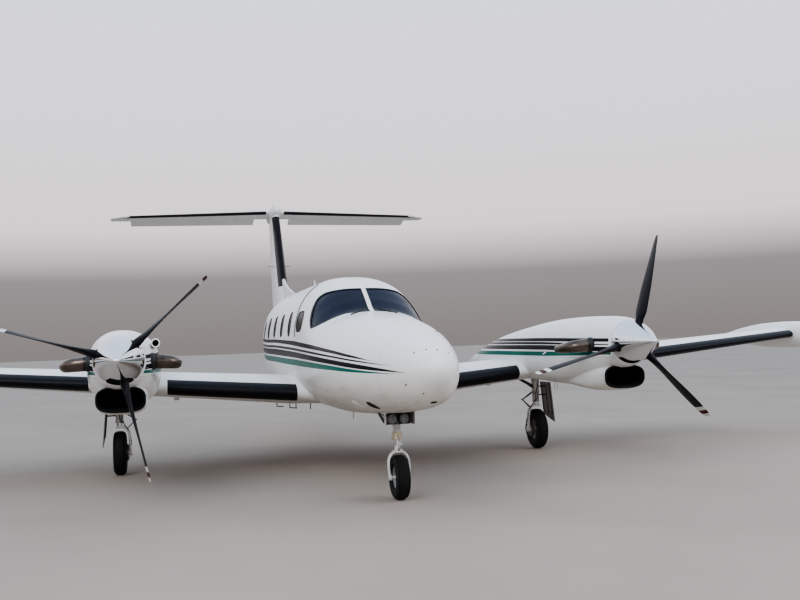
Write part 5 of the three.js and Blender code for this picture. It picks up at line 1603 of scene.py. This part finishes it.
def seat(x, y, z, name, node=None, width=430):
    """One seat without its foot on both sides of the aisle; its shell may stand for the plain seat."""
    profile = rounded([(y, z + 4), (y + 478, z + 4), (y + 650, z + 640), (y + 622, z + 650),
                       (y + 456, z + 34), (y, z + 30)], 22, 5)
    side = rounded([(y + 60, z + 4), (y + 440, z + 4), (y + 480, z + 245), (y + 90, z + 235)], 40, 6)
    arms = [x + s * (width / 2 - 24) for s in (1, -1)]
    shell = join(prism(profile, "x", x - width / 2 + 14, x + width / 2 - 14),
                 *[prism(side, "x", q - 12, q + 12) for q in arms])
    twins(shell, name + "_shell", SHELL, node)
    lean = math.atan2(632, 168)
    parts = [cushion(width - 76, 430, 120, 3, (x, y + 235, z + 92), crown=12),
             cushion(width - 70, 520, 100, 4, (x, y + 470, z + 375), lean, crown=10),
             cushion(250, 170, 92, 0, (x, y + 604, z + 708), lean, crown=6)]
    for label, (body, cord) in zip(("base", "back", "headrest"), parts):
        for o in pair(body, f"{name}_{label}_cushion", BOTH):
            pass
        pair(cord, f"{name}_{label}_piping", BOTH)


def seat_foot(x, y, steps, name):
    """Round foot; steps are heights over the floor and radii."""
    foot = tube([(x, y, FLOOR_Z + z) for z, _ in steps], [r for _, r in steps], 40)
    twins(foot, name, SHELL)


def interior():
    trim = hull_part(CABIN_FRONT, CABIN_BACK, -WALL - JOINT)
    front, back = CABIN_FRONT + WALL + JOINT, CABIN_BACK - WALL - JOINT
    floor = common(box(-700, 700, front, back, FLOOR_Z - 40, FLOOR_Z), copy(trim))
    part(floor, "cabin_carpet", CARPET, replaces="cabin_floor")

    dash = [(1440, 1500), (1500, 1500), (1500, 1890), (1440, 1890)]
    face = common(bar(dash, 12, 4, "x", -640, 640), copy(trim))
    hood = [(1230, 1828), (1460, 1885), (1560, 1905), (1566, 1880), (1440, 1800), (1235, 1808)]
    shield = common(bar(hood, 9, 4, "x", -560, 560), trim)
    stand = [(1440, FLOOR_Z + 1), (1900, FLOOR_Z + 1), (1890, 1490), (1760, 1560), (1440, 1560)]
    pedestal = bar(stand, 30, 5, "x", -118, 118)
    panel = join(face, shield, pedestal)
    part(panel, "instrument_panel_shell", PANEL, replaces="instrument_panel")
    dials, bezels = [], []
    for x in (330, -330):
        for dx in (-150, -50, 50, 150):
            for z, r in ((1770, 42), (1670, 42), (1585, 30)):
                place = (x + dx, 0, z)
                rim_of_dial = [(1498, r - 5), (1510, r - 5), (1510, r + 3), (1498, r + 3)]
                bezels.append(lathe(rim_of_dial, place, sides=32))
                dials.append(lathe([(1497, 0), (1497, r - 5), (1503, r - 5), (1503, 0)], place, sides=32))
    for z in (1560, 1612, 1664, 1716, 1768):
        bezels.append(bar([(-78, z), (78, z), (78, z + 44), (-78, z + 44)], 6, 3, "y", 1499, 1512))
        screen = [(-60, z + 12), (30, z + 12), (30, z + 32), (-60, z + 32)]
        dials.append(bar(screen, 4, 3, "y", 1511, 1513))
    part(merge(*dials), "instrument_dials", DIAL)
    part(merge(*bezels), "instrument_bezels", BEZEL)
    levers = []
    for k, x in enumerate((-75, -45, -15, 15, 45, 75)):
        top = (x, 1640 + 16 * (k % 2), 1650)
        levers += [rod((x, 1650, 1550), top, 5, 4, 10),
                   tube([top, (x, top[1] + 2, 1668), (x, top[1] + 4, 1684)], [11, 15, 9], 16)]
    part(merge(*levers), "power_levers", BEZEL)
    horn = smooth_path([(-128, 1706, 1722), (-140, 1708, 1690), (-134, 1706, 1640), (-90, 1702, 1606),
                        (0, 1700, 1600), (90, 1702, 1606), (134, 1706, 1640), (140, 1708, 1690),
                        (128, 1706, 1722)], 48)
    yoke = merge(tube(horn + np.array([CREW_X, 0, 0]), 13, 16),
                 rod((CREW_X, 1498, 1600), (CREW_X, 1704, 1600), 14, 14, 24))
    twins(yoke, "control_yoke", PANEL)

    seat(CREW_X, 1990, FLOOR_Z + 230, "crew_seat", "crew_seat")
    seat_foot(CREW_X, 2250, [(1, 150), (14, 148), (30, 90), (200, 84), (236, 140)], "crew_seat_foot")
    for k, y in enumerate((3050, 3960, 4870)):
        seat(CABIN_X, y, FLOOR_Z + 170, f"cabin_seat_{k + 1}", "cabin_seats" if k == 0 else None)
        seat_foot(CABIN_X, y + 240, [(24, 160), (40, 156), (60, 96), (150, 96), (176, 150)],
                  f"cabin_seat_{k + 1}_foot")
    low, high = FLOOR_Z + 1, FLOOR_Z + 30
    rails = [bar([(x - 20, low), (x + 20, low), (x + 12, high), (x - 12, high)], 5, 3, "y", 3000, 5500)
             for x in (CABIN_X - 150, CABIN_X + 150)]
    twins(merge(*rails), "cabin_seat_rails", BARE)


# Small outside details
def on_skin(x, z, lift=0.0, y0=900, y1=1760):
    """Point of the hull ahead of the cabin roof at x and z."""
    ys = np.linspace(y0, y1, 400)
    gap = [abs(hull.skin(y, z)[0] - abs(x)) if hull.params(y)[0][2] > z else 1e9 for y in ys]
    y = ys[int(np.argmin(gap))]
    return (x, y - lift * 0.7, z + lift * 0.7)


def spot(x, y, z, normal, r, depth=3.0):
    """Shallow disc lying on the skin."""
    n = Vector(normal).normalized()
    c = Vector((x, y, z))
    return rod(c - n * depth, c + n * depth, r, r * 0.92, 28)


def patch(x, y, z, normal, r, lift=1.5):
    """Thin round piece that follows the skin."""
    n = Vector(normal).normalized()
    c = Vector((x, y, z))
    shell = cut(hull_part(y - 2 * r, y + 2 * r, lift, 20), hull_part(y - 3 * r, y + 3 * r, -4, 20))
    return common(rod(c - n * 90, c + n * 60, r, r, 40), shell)


def blade_aerial(base, tip, chord, thick):
    """Swept fin-shaped aerial."""
    base, tip = Vector(base), Vector(tip)
    return sweep([base, base.lerp(tip, 0.7), tip], thick, [chord, chord * 0.7, chord * 0.45],
                 ALONG_Y, 20, 2.0)


def engine_block():
    """The engine's plain block shows nowhere at rest; it keeps its solid and gets a metal finish."""
    for side in "lr":
        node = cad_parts[f"engine_{side}"]
        node.data.materials.clear()
        node.data.materials.append(BRAKE)


# Place on the nose, direction of the skin there, radius
NOSE_DOTS = [(-157, -1365, 1488, (-.55, -.39, .74), 8), (-57, -1401, 1515, (-.19, -.44, .88), 8),
             (38, -1418, 1510, (.13, -.47, .87), 8), (149, -1395, 1476, (.54, -.44, .72), 8),
             (-111, -1468, 1137, (-.48, -.61, -.63), 7), (-237, -1352, 1212, (-.89, -.37, -.28), 9)]
NOSE_VENTS = [(3, -1377, 1049, (.01, -.35, -.94), 30), (-340, -429, 981, (-.49, -.16, -.86), 74)]


def details():
    gutter = tube([hull.skin(2322 - (z - 1700) * 0.10, z, 1, 3) for z in np.linspace(1690, 2330, 26)],
                  5.5, 8)
    twins(gutter, "cockpit_gutter", RUBBER)
    for side, s, a, b in (("l", 1, (250, 1905), (80, 1960)), ("r", -1, (275, 1900), (90, 1958))):
        p, q = on_skin(s * a[0], a[1], 14), on_skin(s * b[0], b[1], 16)
        arm = merge(tube([on_skin(s * a[0], a[1], -4), p, q], [9, 7, 4], 12),
                    sweep([Vector(p).lerp(Vector(q), t) + Vector((0, -2, -3)) for t in (0.35, 0.7, 1.12)],
                          3, 8, (0, 0.3, 1), 12))
        part(arm, f"screen_wiper_{side}", RUBBER)
    # The vents are near-black patches of painted shade. The fastener dots share the colour.
    dots = [spot(*row) for row in NOSE_DOTS] + [patch(*row) for row in NOSE_VENTS]
    part(merge(*dots), "nose_vents_and_fasteners", DARK_AND_SHADE)
    part(patch(-427, -98, 976, (-.55, -.13, -.82), 72, 5), "belly_lamp_lens", PLAIN_WHITE)
    plate = sweep([(0, y, 2371 + dz) for y, dz in ((1890, -2), (1930, 4), (2040, 20), (2080, 14))], 9,
                  [60, 74, 74, 55], ALONG_X)
    part(plate, "roof_antenna_plate", PLAIN_WHITE)
    under = [blade_aerial((30, 2500, 820), (30, 2560, 640), 50, 7),
             blade_aerial((90, 4500, 800), (90, 4570, 660), 55, 7)]
    under += [blade_aerial((0, 5200, 2425), (0, 5290, 2570), 80, 8)]
    part(merge(*under), "body_aerials", PLAIN_WHITE)
    drains = [rod((x, 3000, 900), (x, 3000, z), 7, 6, 12)
              for x, z in ((-887, 800), (-720, 775), (-640, 765), (-450, 745))]
    drains += [rod((-890, 3000, 806), (-800, 3000, 800), 6, 6, 12),
               rod((-720, 3000, 781), (-630, 3000, 771), 6, 6, 12)]
    part(merge(*drains), "belly_drains", DARK_GEAR)
    whisker = blade_aerial((20, 9870, 3190), (230, 9960, 3200), 16, 5)
    twins(whisker, "fin_aerial", DARK_GEAR)
    wicks = [rod((x, y, z), (x, y + 110, z - 4), 3.2, 2, 8) for x, y, z in
             ((5200, 4262, 1350), (5900, 4262, 1410), (6500, 4260, 1462))]
    twins(merge(*wicks), "wing_static_wicks", DARK_GEAR)
    pipes = [rod((1000 * TRACK_X + dx, y, 1015), (1000 * TRACK_X + dx, y + 12, z), 6, 6, 12) for dx, y, z in
             ((150, 3080, 850), (205, 3120, 830), (178, 3300, 940))]
    twins(merge(*pipes), "nacelle_drains", PLAIN_WHITE)
    for side, s in (("l", 1), ("r", -1)):
        x = s * PX + 340
        path = [(x, 640, 1664), (x, 700, 1664), (x - 12, 860, 1655), (x - 45, 1050, 1640),
                (x - 90, 1180, 1625)]
        duct = cut(tube(smooth_path(path, 24), np.linspace(46, 42, 24), 40),
                   rod((x, 600, 1664), (x, 760, 1660), 34, 34, 32))
        part(duct, f"air_inlet_ring_{side}", PLAIN_WHITE)
        # A near-black disc deep in the inlet ring: painted shade of the duct's depth.
        shade_disc = rod((x, 742, 1662), (x, 756, 1661), 33.5, 33.5, 32)
        part(shade_disc, f"air_inlet_shade_disc_{side}", DARK_AND_SHADE)
    mast = blade_aerial((2340, 1682, 1400), (2290, 1690, 1372), 16, 7)
    part(mast, "nacelle_drain_mast", PLAIN_WHITE)
    glow = lathe([(-26, 0), (-20, 12), (0, 22), (26, 22), (40, 10), (44, 0)], (TANK_X, 2152, TANK_Z),
                 "y", 32)
    twins(glow, "tip_lamp_lens", LENS)
    beacon = tube([(0, 10800, z) for z in (4500, 4512, 4548, 4566, 4571)], [44, 42, 34, 18, 4], 32)
    part(beacon, "fin_beacon", BEACON)


wings()
nacelles()
propellers()
tail()
nose_gear()
main_gear()
interior()
engine_block()
details()


# Floor, light and camera. World: height of the view direction, colour
SKY = [(0.0, (0.20, 0.185, 0.18)), (0.07, (0.25, 0.23, 0.235)), (0.12, (0.80, 0.73, 0.75)),
       (0.30, (0.86, 0.86, 0.95)), (0.60, (0.74, 0.85, 1.0)), (1.0, (0.64, 0.78, 1.0))]
SKY_STRENGTH, EXPOSURE = 1.2, 0.1
# Area lamps: name, place, size, power
LAMPS = (("key", (-9, -16, 13), 9, 1100), ("fill", (11, -9, 9), 8, 500))
# The photo's camera: place, yaw, pitch and roll in degrees, focal length and width in pixels
CAMERA = dict(place=(-2.249, -14.460, 1.595), angles=(13.784, 2.474, -1.976), focal=952.8, width=800)


def staging():
    half, drop_z = 200, -0.001
    floor = build([(x * half, y * half, drop_z) for x, y in ((-1, -1), (1, -1), (1, 1), (-1, 1))],
                  [(0, 1, 2, 3)], "floor", raw=True)
    m = Nodes("floor_pale")
    n = m.noise(0.35, 4)
    m.set(m.shader, Base_Color=m.mix(m.ramp(n, 0.3, 0.7), (0.36, 0.31, 0.262), (0.31, 0.266, 0.225)),
          Roughness=0.85)
    floor.data.materials.append(m.mat)

    world = bpy.data.worlds.new("studio")
    bpy.context.scene.world = world
    world.use_nodes = True
    t = world.node_tree
    bg = t.nodes["Background"]
    coord = t.nodes.new("ShaderNodeTexCoord")
    sep = t.nodes.new("ShaderNodeSeparateXYZ")
    ramp = t.nodes.new("ShaderNodeValToRGB")
    t.links.new(coord.outputs["Generated"], sep.inputs[0])
    t.links.new(sep.outputs[2], ramp.inputs[0])
    t.links.new(ramp.outputs[0], bg.inputs[0])
    e = ramp.color_ramp.elements
    while len(e) < len(SKY):
        e.new(0.5)
    for el, (p, c) in zip(e, SKY):
        el.position, el.color = p, (*c, 1)
    bg.inputs[1].default_value = SKY_STRENGTH

    for name, place, size, power in LAMPS:
        light = bpy.data.objects.new(name, bpy.data.lights.new(name, "AREA"))
        light.data.size, light.data.energy = size, power
        light.location = place
        light.rotation_euler = (Vector((0, -2, 1.2)) - light.location).to_track_quat("-Z", "Y").to_euler()
        bpy.context.scene.collection.objects.link(light)


def camera():
    yaw, pitch, roll = (math.radians(v) for v in CAMERA["angles"])
    ahead = Vector((math.sin(yaw) * math.cos(pitch), math.cos(yaw) * math.cos(pitch), math.sin(pitch)))
    right = Vector((math.cos(yaw), -math.sin(yaw), 0))
    up = right.cross(ahead)
    x = right * math.cos(roll) + up * math.sin(roll)
    y = -right * math.sin(roll) + up * math.cos(roll)
    cam = bpy.data.objects.new("camera", bpy.data.cameras.new("camera"))
    bpy.context.scene.collection.objects.link(cam)
    cam.data.sensor_width, cam.data.lens = 36, CAMERA["focal"] / CAMERA["width"] * 36
    cam.data.clip_end = 500
    rotation = Matrix((x, y, -ahead)).transposed()
    cam.matrix_world = Matrix.Translation(CAMERA["place"]) @ rotation.to_4x4()
    bpy.context.scene.camera = cam
    bpy.context.scene.view_settings.look = "AgX - Medium High Contrast"
    bpy.context.scene.view_settings.exposure = EXPOSURE


staging()
camera()
